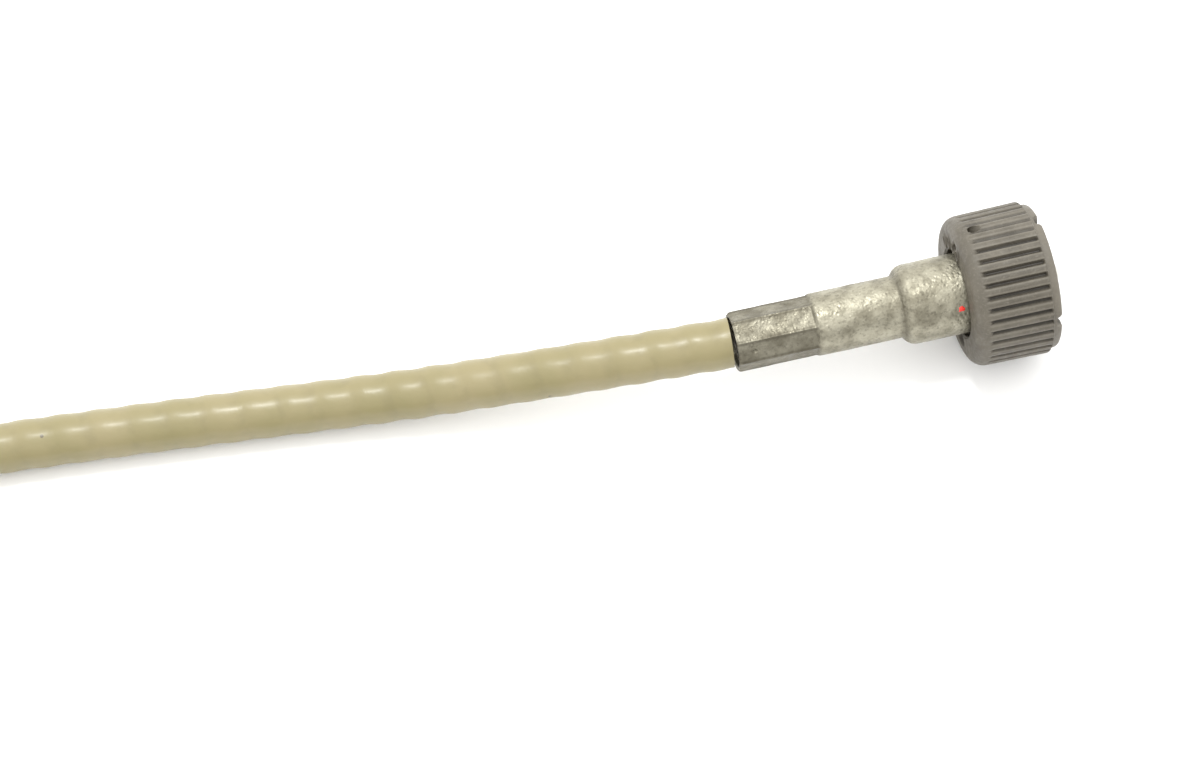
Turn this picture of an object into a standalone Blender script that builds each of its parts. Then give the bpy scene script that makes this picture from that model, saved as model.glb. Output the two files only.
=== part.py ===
"""Flexible drive cable with a ribbed union nut, as separate solids.

One end of a speedometer drive cable lies along +X: crimped end sleeve, loose
ribbed union nut, square drive tip.  The sheathed cable runs back along -X,
lies down on the surface z = 0 and is wound into a small tied coil, on which
its other end rests.  The frame's origin is below the middle of the near end.
Distances along a fitting are counted from the mouth where its cable enters.
"""

import math

import bmesh
import bpy
from mathutils import Vector

MM = 0.001
COLLECTION_NAME = "flexible_drive_cable"

# Clearances
CLEARANCE = 0.30 * MM
RUNNING_GAP = 0.35 * MM

# Sheathed cable
CABLE_DIAMETER = 7.8 * MM
SHAFT_DIAMETER = 3.2 * MM
CONDUIT_BORE = 4.4 * MM
CONDUIT_WALL = 0.45 * MM
SHEATH_WALL_IN_CRIMP = 0.50 * MM
SHEATH_PAST_CRIMP = 1.0 * MM
CONDUIT_SEAT_LENGTH = 4.0 * MM
SHAFT_PASSAGE_GAP = 0.80 * MM
SHAFT_SOCKET_WALL = 0.5 * MM

# Near end: overall places along the fitting
NEAR_LENGTH = 52.0 * MM
CRIMP_LENGTH = 12.4 * MM
TUBE_END = 26.0 * MM
SHOULDER_LENGTH = 2.0 * MM
COLLAR_BACK = 40.4 * MM
COLLAR_THICKNESS = 2.0 * MM
SPIGOT_LENGTH = 1.6 * MM

# Near end: diameters
SLEEVE_DIAMETER = 9.8 * MM
CRIMP_CORNER_DIAMETER = 9.36 * MM
CRIMP_SIDES = 8
CRIMP_CORNER_ANGLE = 29.5
FLARE_DIAMETER = 12.56 * MM
COLLAR_DIAMETER = 15.6 * MM
SPIGOT_DIAMETER = 10.0 * MM
BUSH_POCKET_DIAMETER = 7.2 * MM
BUSH_POCKET_END_GAP = 0.5 * MM
PUNCH_MARK_ANGLE = 232.0
PUNCH_MARK_PLACE = 2.6 * MM
PUNCH_MARK_DIAMETER = 0.9 * MM
PUNCH_MARK_DEPTH = 0.22 * MM
PUNCH_LENGTH = 2.0 * MM

# Union nut
NUT_DIAMETER = 24.0 * MM
NUT_LENGTH = 13.4 * MM
NUT_SEAT_GAP = 0.4 * MM
NUT_BACK_WALL = 3.0 * MM
NUT_DRAFT = 0.18 * MM
NUT_CORNER_LENGTH = 2.2 * MM
NUT_BACK_FACE_DIAMETER = 19.6 * MM
NUT_BAND_LENGTH = 1.45 * MM
NUT_BAND_DROP = 0.65 * MM
NUT_BORE_GAP = 0.70 * MM
RIB_COUNT = 38
RIB_HEIGHT = 0.62 * MM
RIB_CREST_SHARE = 0.58
RIB_FLOOR_SHARE = 0.12
THREAD_MAJOR = 18.0 * MM
THREAD_PITCH = 1.5 * MM
THREAD_DEPTH = 0.81 * MM
THREAD_TURNS = 4
UNDERCUT_LENGTH = 2.4 * MM
THREAD_RELIEF = 0.1 * MM
THREAD_CHAMFER = 0.3 * MM
NOTCH_COUNT = 4
NOTCH_ANGLE = 65.7
NOTCH_DEPTH = 0.95 * MM
NOTCH_MOUTH = 2.5 * MM
NOTCH_FLOOR = 1.3 * MM
SEAL_HOLE_DIAMETER = 1.5 * MM
SEAL_HOLE_ANGLE = 153.0
SEAL_HOLE_PLACE = 2.9 * MM
SEAL_DRILL_LENGTH = 16.0 * MM

# Loose and inner pieces of the near end
WASHER_THICKNESS = 0.8 * MM
SEAL_SECTION = 1.4 * MM
BUSH_LENGTH = 6.2 * MM
BUSH_RECESS = 0.2 * MM
JOURNAL_DIAMETER = 3.3 * MM
SQUARE_SIZE = 2.6 * MM
SQUARE_LENGTH = 5.4 * MM
SQUARE_BEVEL = 0.25 * MM
FLANGE_DIAMETER = 5.8 * MM
FLANGE_THICKNESS = 1.0 * MM
SHAFT_SOCKET_LENGTH = 4.4 * MM
SHAFT_WASHER_THICKNESS = 0.6 * MM
CLIP_THICKNESS = 0.6 * MM
CLIP_DIAMETER = 5.8 * MM
CLIP_GROOVE_DEPTH = 0.4 * MM
CLIP_GROOVE_LENGTH = 1.2 * MM
CLIP_OPENING = 70.0
SHAFT_FLOAT = 1.5 * MM

# Far end
FAR_CRIMP_LENGTH = 9.0 * MM
FAR_CORNER_DIAMETER = 9.36 * MM
FAR_SLEEVE_DIAMETER = 9.8 * MM
FAR_COLLAR_BACK = 26.0 * MM
FAR_COLLAR_THICKNESS = 1.6 * MM
FAR_COLLAR_DIAMETER = 12.2 * MM
FAR_SPIGOT_DIAMETER = 8.8 * MM
FAR_SPIGOT_LENGTH = 1.4 * MM
FAR_POCKET_DIAMETER = 6.6 * MM
FAR_POCKET_END_GAP = 1.2 * MM
FAR_NUT_FLATS = 17.0 * MM
FAR_NUT_LENGTH = 11.0 * MM
FAR_NUT_SEAT_GAP = 0.9 * MM
FAR_NUT_BACK_WALL = 2.4 * MM
FAR_THREAD_MAJOR = 14.0 * MM
FAR_THREAD_PITCH = 1.0 * MM
FAR_THREAD_DEPTH = 0.55 * MM
FAR_THREAD_TURNS = 4
FAR_UNDERCUT_LENGTH = 2.0 * MM
FAR_NUT_CORNER_SLOPE = 0.8 * MM
FAR_WASHER_THICKNESS = 0.4 * MM
FAR_SEAL_SECTION = 1.1 * MM
FAR_BUSH_LENGTH = 4.9 * MM
FAR_JOURNAL_DIAMETER = 3.0 * MM
FAR_JOURNAL_END = 29.6 * MM
FAR_FLANGE_DIAMETER = 5.0 * MM
FAR_SOCKET_LENGTH = 2.4 * MM
FAR_TIP_END = 36.0 * MM
TONGUE_WIDTH = 2.8 * MM
TONGUE_THICKNESS = 1.6 * MM

# Coil and its ties
COIL_CENTRE = (-204.6 * MM, -30.7 * MM)
COIL_OUTER_TURN = 45.2 * MM
COIL_INNER_TURN = 32.4 * MM
TIE_THICKNESS = 1.2 * MM
TIE_WIDTH = 3.6 * MM
TIE_INSIDE_ROUND = 3.1 * MM
TIE_HEAD = (5.6 * MM, 5.2 * MM, 3.6 * MM)
TIE_HEAD_BEVEL = 0.5 * MM
TIE_HEAD_SINK = 0.7 * MM
TIE_ANGLES = (150.0, 240.0)

# Place of the far mouth from the coil's centre
FAR_MOUTH_OFFSET = (-0.4 * MM, 33.9 * MM)

# Cable route from the near mouth to the coil, and from the coil to the far mouth
RUN_ROUTE = (
    (-26.3, 0.0, 12.0),
    (-32.0, 0.4, 11.8),
    (-43.0, 1.5, 10.6),
    (-58.5, 3.6, 8.0),
    (-74.0, 5.8, 5.4),
    (-89.5, 7.8, 4.1),
    (-105.0, 9.4, 3.95),
    (-121.0, 10.9, 3.95),
    (-135.0, 12.1, 3.95),
    (-150.0, 13.2, 4.1),
    (-164.0, 14.1, 4.7),
    (-175.5, 14.5, 5.2),
)
TAIL_ROUTE = (
    (-171.0, -23.1, 13.55),
    (-174.4, -13.7, 15.2),
    (-181.0, -5.0, 17.3),
    (-192.9, 2.0, 18.75),
    (-200.6, 3.0, 19.35),
    (-204.7, 3.2, 19.4),
)

# Mesh fineness
NUT_SEGMENTS = 2 * RIB_COUNT
SLEEVE_SEGMENTS = 48
SMALL_SEGMENTS = 28
DRILL_SEGMENTS = 12
COIL_SEGMENTS = 72
CORNER_STEPS = 4
CABLE_POINT_SPACING = 15.6 * MM
DIE_OVERSHOOT = 2.0 * MM
MERGE_DISTANCE = 0.001 * MM
SHARP_ANGLE = math.radians(35)

# Worked out from the sizes above
SLEEVE_R = SLEEVE_DIAMETER / 2
FLARE_R = FLARE_DIAMETER / 2
COLLAR_R = COLLAR_DIAMETER / 2
SPIGOT_R = SPIGOT_DIAMETER / 2
NUT_R = NUT_DIAMETER / 2
SHAFT_R = SHAFT_DIAMETER / 2
CABLE_R = CABLE_DIAMETER / 2
CONDUIT_OUTER_R = CONDUIT_BORE / 2 + CONDUIT_WALL
SHEATH_INNER_R = CONDUIT_OUTER_R + CLEARANCE
SHEATH_OUTER_R = SHEATH_INNER_R + SHEATH_WALL_IN_CRIMP
SHEATH_SEAT_R = SHEATH_OUTER_R + CLEARANCE
CONDUIT_SEAT_R = CONDUIT_OUTER_R + 2 * CLEARANCE
PASSAGE_R = SHAFT_R + SHAFT_PASSAGE_GAP
POCKET_R = BUSH_POCKET_DIAMETER / 2
COLLAR_FRONT = COLLAR_BACK + COLLAR_THICKNESS
SPIGOT_END = COLLAR_FRONT + SPIGOT_LENGTH
WASHER_FRONT = COLLAR_BACK - CLEARANCE
WASHER_BACK = WASHER_FRONT - WASHER_THICKNESS
NUT_FLOOR = WASHER_BACK - NUT_SEAT_GAP
NUT_BACK = NUT_FLOOR - NUT_BACK_WALL
NUT_FRONT = NUT_BACK + NUT_LENGTH
NUT_BORE_R = FLARE_R + NUT_BORE_GAP
BUSH_R = POCKET_R - CLEARANCE
BUSH_FRONT = SPIGOT_END - BUSH_RECESS
BUSH_BACK = BUSH_FRONT - BUSH_LENGTH
JOURNAL_R = JOURNAL_DIAMETER / 2
FLANGE_FRONT = BUSH_BACK - 2 * CLEARANCE - SHAFT_WASHER_THICKNESS
FLANGE_BACK = FLANGE_FRONT - FLANGE_THICKNESS
SOCKET_BACK = FLANGE_BACK - SHAFT_SOCKET_LENGTH
BUSH_POCKET_START = SOCKET_BACK - SHAFT_FLOAT - BUSH_POCKET_END_GAP
CLIP_GROOVE_BACK = SPIGOT_END + SHAFT_FLOAT - BUSH_RECESS
FAR_SLEEVE_R = FAR_SLEEVE_DIAMETER / 2
FAR_COLLAR_R = FAR_COLLAR_DIAMETER / 2
FAR_COLLAR_FRONT = FAR_COLLAR_BACK + FAR_COLLAR_THICKNESS
FAR_SPIGOT_END = FAR_COLLAR_FRONT + FAR_SPIGOT_LENGTH
FAR_WASHER_SEAT = FAR_COLLAR_BACK - CLEARANCE
FAR_NUT_FLOOR = FAR_WASHER_SEAT - FAR_WASHER_THICKNESS - FAR_NUT_SEAT_GAP
FAR_NUT_BACK = FAR_NUT_FLOOR - FAR_NUT_BACK_WALL
FAR_NUT_FRONT = FAR_NUT_BACK + FAR_NUT_LENGTH
FAR_NUT_CORNER_R = FAR_NUT_FLATS / 2 / math.cos(math.pi / 6)
FAR_NUT_BORE_R = FAR_SLEEVE_R + RUNNING_GAP
FAR_POCKET_R = FAR_POCKET_DIAMETER / 2
FAR_JOURNAL_R = FAR_JOURNAL_DIAMETER / 2
FAR_BUSH_FRONT = FAR_SPIGOT_END - BUSH_RECESS
FAR_BUSH_BACK = FAR_BUSH_FRONT - FAR_BUSH_LENGTH
FAR_WASHER_FRONT = FAR_BUSH_BACK - CLEARANCE - SHAFT_FLOAT
FAR_FLANGE_FRONT = FAR_WASHER_FRONT - SHAFT_WASHER_THICKNESS - CLEARANCE
FAR_FLANGE_BACK = FAR_FLANGE_FRONT - FLANGE_THICKNESS
FAR_SOCKET_BACK = FAR_FLANGE_BACK - FAR_SOCKET_LENGTH
FAR_POCKET_START = FAR_SOCKET_BACK - FAR_POCKET_END_GAP
COIL_LIFT = TIE_THICKNESS + CLEARANCE
COIL_OUTER_R = COIL_OUTER_TURN + CABLE_R
COIL_INNER_R = COIL_INNER_TURN - CABLE_R
COIL_TOP = COIL_LIFT + CABLE_DIAMETER
FAR_AXIS_HEIGHT = COIL_TOP + CLEARANCE + FAR_NUT_CORNER_R


def clear_scene():
    """Remove every object that the file starts with."""
    for item in list(bpy.data.objects):
        bpy.data.objects.remove(item, do_unlink=True)


def new_collection(name):
    collection = bpy.data.collections.new(name)
    bpy.context.scene.collection.children.link(collection)
    return collection


def material(name, color, roughness, metallic):
    made = bpy.data.materials.new(name)
    made.use_nodes = True
    shader = made.node_tree.nodes["Principled BSDF"]
    shader.inputs["Base Color"].default_value = (*color, 1.0)
    shader.inputs["Roughness"].default_value = roughness
    shader.inputs["Metallic"].default_value = metallic
    return made


def polar(radius, degrees):
    """Point of a circle round the local Z axis, counted from local +X."""
    angle = math.radians(degrees)
    return (radius * math.cos(angle), radius * math.sin(angle))


class Workshop:
    """Holds the two collections and puts each new object where it belongs."""

    def __init__(self):
        self.parts = new_collection(COLLECTION_NAME)
        self.cutters = new_collection("cutters")
        self.axes = {}

    def add_axis(self, name, location, turn):
        """Add an empty whose local +Z runs out along a fitting."""
        axis = bpy.data.objects.new(name, None)
        axis.location = location
        axis.rotation_euler = (0.0, turn, 0.0)
        axis.empty_display_size = 10 * MM
        self.parts.objects.link(axis)
        self.axes[name] = axis

    def add(self, obj, axis=None, finish=None):
        """Link a finished sub-part, on an axis if it has one."""
        self.parts.objects.link(obj)
        obj.parent = self.axes[axis] if axis else None
        if finish:
            obj.data.materials.clear()
            obj.data.materials.append(finish)
        return obj

    def add_cutter(self, obj, axis=None):
        self.cutters.objects.link(obj)
        obj.parent = self.axes[axis] if axis else None
        obj.hide_render = True
        obj.display_type = "WIRE"
        return obj


def turned(name, profile, segments, closed=True):
    """Solid of revolution round local Z.

    The profile's (radius, place) points run down its outer side, from the
    highest place to the lowest.  A closed profile comes back up the bore; an
    open one, for a solid shaft, starts and ends on the axis.
    """
    count = len(profile)
    mesh = bpy.data.meshes.new(name)
    points = [(radius, 0.0, place) for radius, place in profile]
    edges = [(index, (index + 1) % count) for index in range(count if closed else count - 1)]
    mesh.from_pydata(points, edges, [])
    guide = bpy.data.objects.new(name + "_guide", mesh)
    screw = guide.modifiers.new("revolve", "SCREW")
    screw.axis = "Z"
    screw.angle = 2 * math.pi
    screw.steps = segments
    screw.render_steps = segments
    screw.use_merge_vertices = True
    screw.merge_threshold = MERGE_DISTANCE
    return settled(guide, name)


def ring(name, inner, outer, back, front, segments=SMALL_SEGMENTS):
    """Plain ring between two radii and two places along its axis."""
    profile = [(outer, front), (outer, back), (inner, back), (inner, front)]
    return turned(name, profile, segments)


def flat_prism(name, outlines, thickness):
    """Filled flat outline, extruded along local Z and made a mesh.

    The first outline is the outer edge and any others are holes in it.
    """
    curve = bpy.data.curves.new(name, "CURVE")
    curve.dimensions = "2D"
    curve.fill_mode = "BOTH"
    curve.extrude = thickness / 2
    for outline in outlines:
        spline = curve.splines.new("POLY")
        spline.points.add(len(outline) - 1)
        for point, (x, y) in zip(spline.points, outline):
            point.co = (x, y, 0.0, 1.0)
        spline.use_cyclic_u = True
    guide = bpy.data.objects.new(name + "_guide", curve)
    return settled(guide, name)


def settled(guide, name):
    """Turn a curve, or a mesh with modifiers, into one welded mesh object."""
    bpy.context.scene.collection.objects.link(guide)
    bpy.context.view_layer.update()
    evaluated = guide.evaluated_get(bpy.context.evaluated_depsgraph_get())
    mesh = bpy.data.meshes.new_from_object(evaluated)
    mesh.name = name
    place = guide.matrix_world.copy()
    bpy.data.objects.remove(guide, do_unlink=True)
    work = bmesh.new()
    work.from_mesh(mesh)
    bmesh.ops.remove_doubles(work, verts=work.verts, dist=MERGE_DISTANCE)
    bmesh.ops.recalc_face_normals(work, faces=work.faces)
    work.to_mesh(mesh)
    work.free()
    mesh.shade_smooth()
    mesh.set_sharp_from_angle(angle=SHARP_ANGLE)
    obj = bpy.data.objects.new(name, mesh)
    obj.matrix_world = place
    return obj


def block(name, size):
    """Box with its centre at the local origin."""
    mesh = bpy.data.meshes.new(name)
    work = bmesh.new()
    bmesh.ops.create_cube(work, size=1.0)
    bmesh.ops.scale(work, vec=Vector(size), verts=work.verts)
    work.to_mesh(mesh)
    work.free()
    return bpy.data.objects.new(name, mesh)


def rod(name, radius, length, segments):
    """Cylinder round local Z with its centre at the local origin."""
    mesh = bpy.data.meshes.new(name)
    work = bmesh.new()
    bmesh.ops.create_cone(
        work, cap_ends=True, segments=segments, radius1=radius, radius2=radius, depth=length
    )
    work.to_mesh(mesh)
    work.free()
    return bpy.data.objects.new(name, mesh)


def boolean(obj, cutter, operation="DIFFERENCE"):
    modifier = obj.modifiers.new(operation.lower() + "_" + cutter.name, "BOOLEAN")
    modifier.operation = operation
    modifier.solver = "EXACT"
    modifier.object = cutter


def bevel(obj, width, segments=1):
    modifier = obj.modifiers.new("bevel", "BEVEL")
    modifier.width = width
    modifier.segments = segments
    modifier.limit_method = "ANGLE"


def corner(outer_r, outer_place, inner_r, inner_place, steps=CORNER_STEPS):
    """Quarter ellipse from the outer side down to an end face."""
    points = []
    for step in range(steps + 1):
        turn = math.pi / 2 * step / steps
        radius = inner_r + (outer_r - inner_r) * math.cos(turn)
        place = outer_place + (inner_place - outer_place) * math.sin(turn)
        points.append((radius, place))
    return points


def regular_outline(corner_radius, sides, first_angle):
    step = 360.0 / sides
    return [polar(corner_radius, first_angle + step * side) for side in range(sides)]


def circle_outline(radius, segments):
    return regular_outline(radius, segments, 0.0)


def shoulder(small_r, large_r, start, length):
    """Rounded rise from a tube to a wider one, in the order front to back."""
    points = []
    for step in range(CORNER_STEPS + 1):
        turn = math.pi / 2 * step / CORNER_STEPS
        radius = small_r + (large_r - small_r) * math.sin(turn)
        place = start + length * (1 - math.cos(turn))
        points.append((radius, place))
    return list(reversed(points))


def stepped_bore(crimp_length, pocket_start, pocket_r, end):
    """Bore points of a sleeve: sheath seat, conduit seat, passage and bush pocket."""
    sheath_stop = crimp_length + SHEATH_PAST_CRIMP
    conduit_stop = sheath_stop + CONDUIT_SEAT_LENGTH
    return [
        (SHEATH_SEAT_R, 0.0),
        (SHEATH_SEAT_R, sheath_stop),
        (CONDUIT_SEAT_R, sheath_stop),
        (CONDUIT_SEAT_R, conduit_stop),
        (PASSAGE_R, conduit_stop),
        (PASSAGE_R, pocket_start),
        (pocket_r, pocket_start),
        (pocket_r, end),
    ]


def press_crimp(shop, sleeve, name, axis, corner_diameter, blank_r, length):
    """Press the crimp's flats on a sleeve, from its mouth to their length."""
    die_length = length + DIE_OVERSHOOT
    outer = circle_outline(2 * blank_r, SMALL_SEGMENTS)
    hole = regular_outline(corner_diameter / 2, CRIMP_SIDES, CRIMP_CORNER_ANGLE)
    die = flat_prism(name, [outer, hole], die_length)
    die.location.z = length - die_length / 2
    boolean(sleeve, shop.add_cutter(die, axis))


def end_sleeve(shop, finish):
    """Pressed steel sleeve: crimp, tube, flare, collar and spigot."""
    edge = 0.3 * MM
    outer = [
        (SPIGOT_R - edge, SPIGOT_END),
        (SPIGOT_R, SPIGOT_END - edge),
        (SPIGOT_R, COLLAR_FRONT),
        (COLLAR_R - edge, COLLAR_FRONT),
        (COLLAR_R, COLLAR_FRONT - edge),
        (COLLAR_R, COLLAR_BACK + edge),
        (COLLAR_R - edge, COLLAR_BACK),
        (FLARE_R, COLLAR_BACK),
    ]
    outer += shoulder(SLEEVE_R, FLARE_R, TUBE_END, SHOULDER_LENGTH)
    outer += [(SLEEVE_R, edge), (SLEEVE_R - edge, 0.0)]
    bore = stepped_bore(CRIMP_LENGTH, BUSH_POCKET_START, POCKET_R, SPIGOT_END)
    sleeve = shop.add(turned("end_sleeve", outer + bore, SLEEVE_SEGMENTS), "near_axis", finish)
    press_crimp(
        shop, sleeve, "near_crimp_die", "near_axis", CRIMP_CORNER_DIAMETER, SLEEVE_R,
        CRIMP_LENGTH,
    )
    flat_r = CRIMP_CORNER_DIAMETER / 2 * math.cos(math.pi / CRIMP_SIDES)
    punch = rod("punch", PUNCH_MARK_DIAMETER / 2, PUNCH_LENGTH, DRILL_SEGMENTS)
    x, y = polar(flat_r - PUNCH_MARK_DEPTH + PUNCH_LENGTH / 2, PUNCH_MARK_ANGLE)
    punch.location = (x, y, PUNCH_MARK_PLACE)
    punch.rotation_euler = (0.0, math.pi / 2, math.radians(PUNCH_MARK_ANGLE))
    boolean(sleeve, shop.add_cutter(punch, "near_axis"))


def thread_profile(start, pitch, turns, minor_r, major_r):
    """Bore points of a thread, from its first crest towards the mouth."""
    points = []
    for turn in range(turns):
        place = start + pitch * turn
        points.append((minor_r, place))
        points.append((major_r, place + pitch / 2))
    points.append((minor_r, start + pitch * turns))
    return points


def rib_outline():
    """Outline with one flat-topped rib for each groove round the nut."""
    crest = NUT_R + RIB_HEIGHT
    floor = NUT_R - RIB_HEIGHT
    step = 360.0 / RIB_COUNT
    half_crest = step * RIB_CREST_SHARE / 2
    half_floor = step * RIB_FLOOR_SHARE / 2
    points = []
    for rib in range(RIB_COUNT):
        middle = rib * step
        points.append(polar(crest, middle - half_crest))
        points.append(polar(crest, middle + half_crest))
        points.append(polar(floor, middle + step / 2 - half_floor))
        points.append(polar(floor, middle + step / 2 + half_floor))
    return points


def notch_cutter(name, angle, front):
    """Radial wedge that cuts one notch in the nut's front rim."""
    over = 1 * MM
    widen = (NOTCH_MOUTH - NOTCH_FLOOR) / 2 * over / NOTCH_DEPTH
    outline = [
        (-NOTCH_FLOOR / 2, -NOTCH_DEPTH),
        (NOTCH_FLOOR / 2, -NOTCH_DEPTH),
        (NOTCH_MOUTH / 2 + widen, over),
        (-NOTCH_MOUTH / 2 - widen, over),
    ]
    inner = THREAD_MAJOR / 2 - THREAD_DEPTH - over
    outer = NUT_R + over
    cutter = flat_prism(name, [outline], outer - inner)
    x, y = polar((inner + outer) / 2, angle)
    cutter.location = (x, y, front)
    cutter.rotation_euler = (math.pi / 2, 0.0, math.radians(angle) + math.pi / 2)
    return cutter


def union_nut(shop, finish):
    """Moulded nut: ribbed outside, threaded inside, notched front rim."""
    band_r = NUT_R - NUT_BAND_DROP
    band_back = NUT_FRONT - NUT_BAND_LENGTH
    step_length = 0.25 * MM
    rim_round = 0.5 * MM
    corner_back = NUT_BACK + NUT_CORNER_LENGTH
    outer = corner(band_r, NUT_FRONT - rim_round, band_r - rim_round, NUT_FRONT, 2)
    outer.reverse()
    outer += [(band_r, band_back), (NUT_R, band_back - step_length)]
    outer += corner(NUT_R - NUT_DRAFT, corner_back, NUT_BACK_FACE_DIAMETER / 2, NUT_BACK)
    chamfer = THREAD_CHAMFER
    major_r = THREAD_MAJOR / 2
    minor_r = major_r - THREAD_DEPTH
    thread_start = NUT_FLOOR + UNDERCUT_LENGTH + chamfer
    relief_r = major_r + THREAD_RELIEF
    bore = [
        (NUT_BORE_R + chamfer, NUT_BACK),
        (NUT_BORE_R, NUT_BACK + chamfer),
        (NUT_BORE_R, NUT_FLOOR),
        (relief_r, NUT_FLOOR),
        (relief_r, NUT_FLOOR + UNDERCUT_LENGTH),
    ]
    bore += thread_profile(thread_start, THREAD_PITCH, THREAD_TURNS, minor_r, major_r)
    thread_end = thread_start + THREAD_PITCH * THREAD_TURNS
    bore += [(relief_r, thread_end + THREAD_PITCH / 2), (relief_r + chamfer, NUT_FRONT)]
    nut = shop.add(turned("union_nut", outer + bore, NUT_SEGMENTS), "near_axis", finish)
    ribs = flat_prism("nut_ribs", [rib_outline()], NUT_LENGTH + DIE_OVERSHOOT)
    ribs.location.z = (NUT_FRONT + NUT_BACK) / 2
    boolean(nut, shop.add_cutter(ribs, "near_axis"), "INTERSECT")
    for index in range(NOTCH_COUNT):
        angle = NOTCH_ANGLE + 360.0 / NOTCH_COUNT * index
        notch = notch_cutter("notch_" + str(index + 1), angle, NUT_FRONT)
        boolean(nut, shop.add_cutter(notch, "near_axis"))
    drill = rod(
        "seal_wire_drill", SEAL_HOLE_DIAMETER / 2, SEAL_DRILL_LENGTH, DRILL_SEGMENTS
    )
    x, y = polar(NUT_R, SEAL_HOLE_ANGLE)
    drill.location = (x, y, NUT_BACK + SEAL_HOLE_PLACE)
    drill.rotation_euler = (0.0, math.pi / 4, math.radians(SEAL_HOLE_ANGLE))
    boolean(nut, shop.add_cutter(drill, "near_axis"))


def seal_ring(shop, name, axis, spigot_r, collar_front, section, finish):
    """Rubber ring that lies on a spigot in front of its collar."""
    major = spigot_r + CLEARANCE + section / 2
    place = collar_front + CLEARANCE + section / 2
    points = []
    steps = 8
    for step in range(steps):
        turn = 2 * math.pi * step / steps
        radius = major + section / 2 * math.cos(turn)
        points.append((radius, place - section / 2 * math.sin(turn)))
    shop.add(turned(name, points, SMALL_SEGMENTS), axis, finish)


def conduit_and_sheath(shop, prefix, axis, crimp_length, finishes):
    """Cable layers held inside a crimp: wound steel conduit and plastic sheath."""
    start = 2 * CLEARANCE
    sheath_end_place = crimp_length + SHEATH_PAST_CRIMP - CLEARANCE
    conduit_end_place = sheath_end_place + CONDUIT_SEAT_LENGTH
    sheath = ring(
        prefix + "sheath_end", SHEATH_INNER_R, SHEATH_OUTER_R, start, sheath_end_place
    )
    conduit = ring(
        prefix + "conduit_end", CONDUIT_BORE / 2, CONDUIT_OUTER_R, start, conduit_end_place
    )
    shop.add(sheath, axis, finishes["sheath"])
    shop.add(conduit, axis, finishes["conduit"])


def inner_shaft(shop, name, axis, end_place, finish):
    """Straight stretch of the wound inner shaft inside a fitting."""
    start = SHAFT_FLOAT + 2 * CLEARANCE
    shaft = rod(name, SHAFT_R, end_place - start, SMALL_SEGMENTS)
    shaft.location.z = (start + end_place) / 2
    shop.add(shaft, axis, finish)


def shaft_tip(shop, finish):
    """Turned drive tip with flange, journal, clip groove and square end."""
    groove_r = JOURNAL_R - CLIP_GROOVE_DEPTH
    groove_front = CLIP_GROOVE_BACK + CLIP_GROOVE_LENGTH
    socket_r = SHAFT_R + SHAFT_SOCKET_WALL
    square_back = NEAR_LENGTH - SQUARE_LENGTH
    overlap = 0.4 * MM
    profile = [
        (0.0, square_back + overlap),
        (JOURNAL_R, square_back + overlap),
        (JOURNAL_R, groove_front),
        (groove_r, groove_front),
        (groove_r, CLIP_GROOVE_BACK),
        (JOURNAL_R, CLIP_GROOVE_BACK),
        (JOURNAL_R, FLANGE_FRONT),
        (FLANGE_DIAMETER / 2, FLANGE_FRONT),
        (FLANGE_DIAMETER / 2, FLANGE_BACK),
        (socket_r, FLANGE_BACK),
        (socket_r, SOCKET_BACK),
        (0.0, SOCKET_BACK),
    ]
    tip = turned("shaft_tip", profile, SMALL_SEGMENTS, closed=False)
    shop.add(tip, "near_axis", finish)
    square = block("drive_square", (SQUARE_SIZE, SQUARE_SIZE, SQUARE_LENGTH))
    square.location.z = NEAR_LENGTH - SQUARE_LENGTH / 2
    bevel(square, SQUARE_BEVEL)
    boolean(tip, shop.add_cutter(square, "near_axis"), "UNION")


def retaining_clip(shop, finish):
    """Open spring ring in the journal's groove, in front of the bush."""
    inner = JOURNAL_R - CLIP_GROOVE_DEPTH + CLEARANCE
    outer = CLIP_DIAMETER / 2
    steps = 18
    sweep = 360.0 - CLIP_OPENING
    start = CLIP_OPENING / 2
    outline = [polar(outer, start + sweep * step / steps) for step in range(steps + 1)]
    outline += [polar(inner, start + sweep * step / steps) for step in range(steps, -1, -1)]
    clip = flat_prism("retaining_clip", [outline], CLIP_THICKNESS)
    clip.location.z = CLIP_GROOVE_BACK + CLIP_GROOVE_LENGTH / 2
    shop.add(clip, "near_axis", finish)


def near_loose_pieces(shop, finishes):
    """Washer behind the collar, guide bush and washer on the inner shaft."""
    washer = ring(
        "thrust_washer", FLARE_R + CLEARANCE, COLLAR_R + 2 * CLEARANCE,
        WASHER_BACK, WASHER_FRONT,
    )
    shop.add(washer, "near_axis", finishes["brass"])
    bush = ring("guide_bush", JOURNAL_R + RUNNING_GAP, BUSH_R, BUSH_BACK, BUSH_FRONT)
    shop.add(bush, "near_axis", finishes["bronze"])
    shaft_washer = ring(
        "shaft_washer", JOURNAL_R + RUNNING_GAP, BUSH_R,
        FLANGE_FRONT + CLEARANCE, FLANGE_FRONT + CLEARANCE + SHAFT_WASHER_THICKNESS,
    )
    shop.add(shaft_washer, "near_axis", finishes["nylon"])


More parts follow.
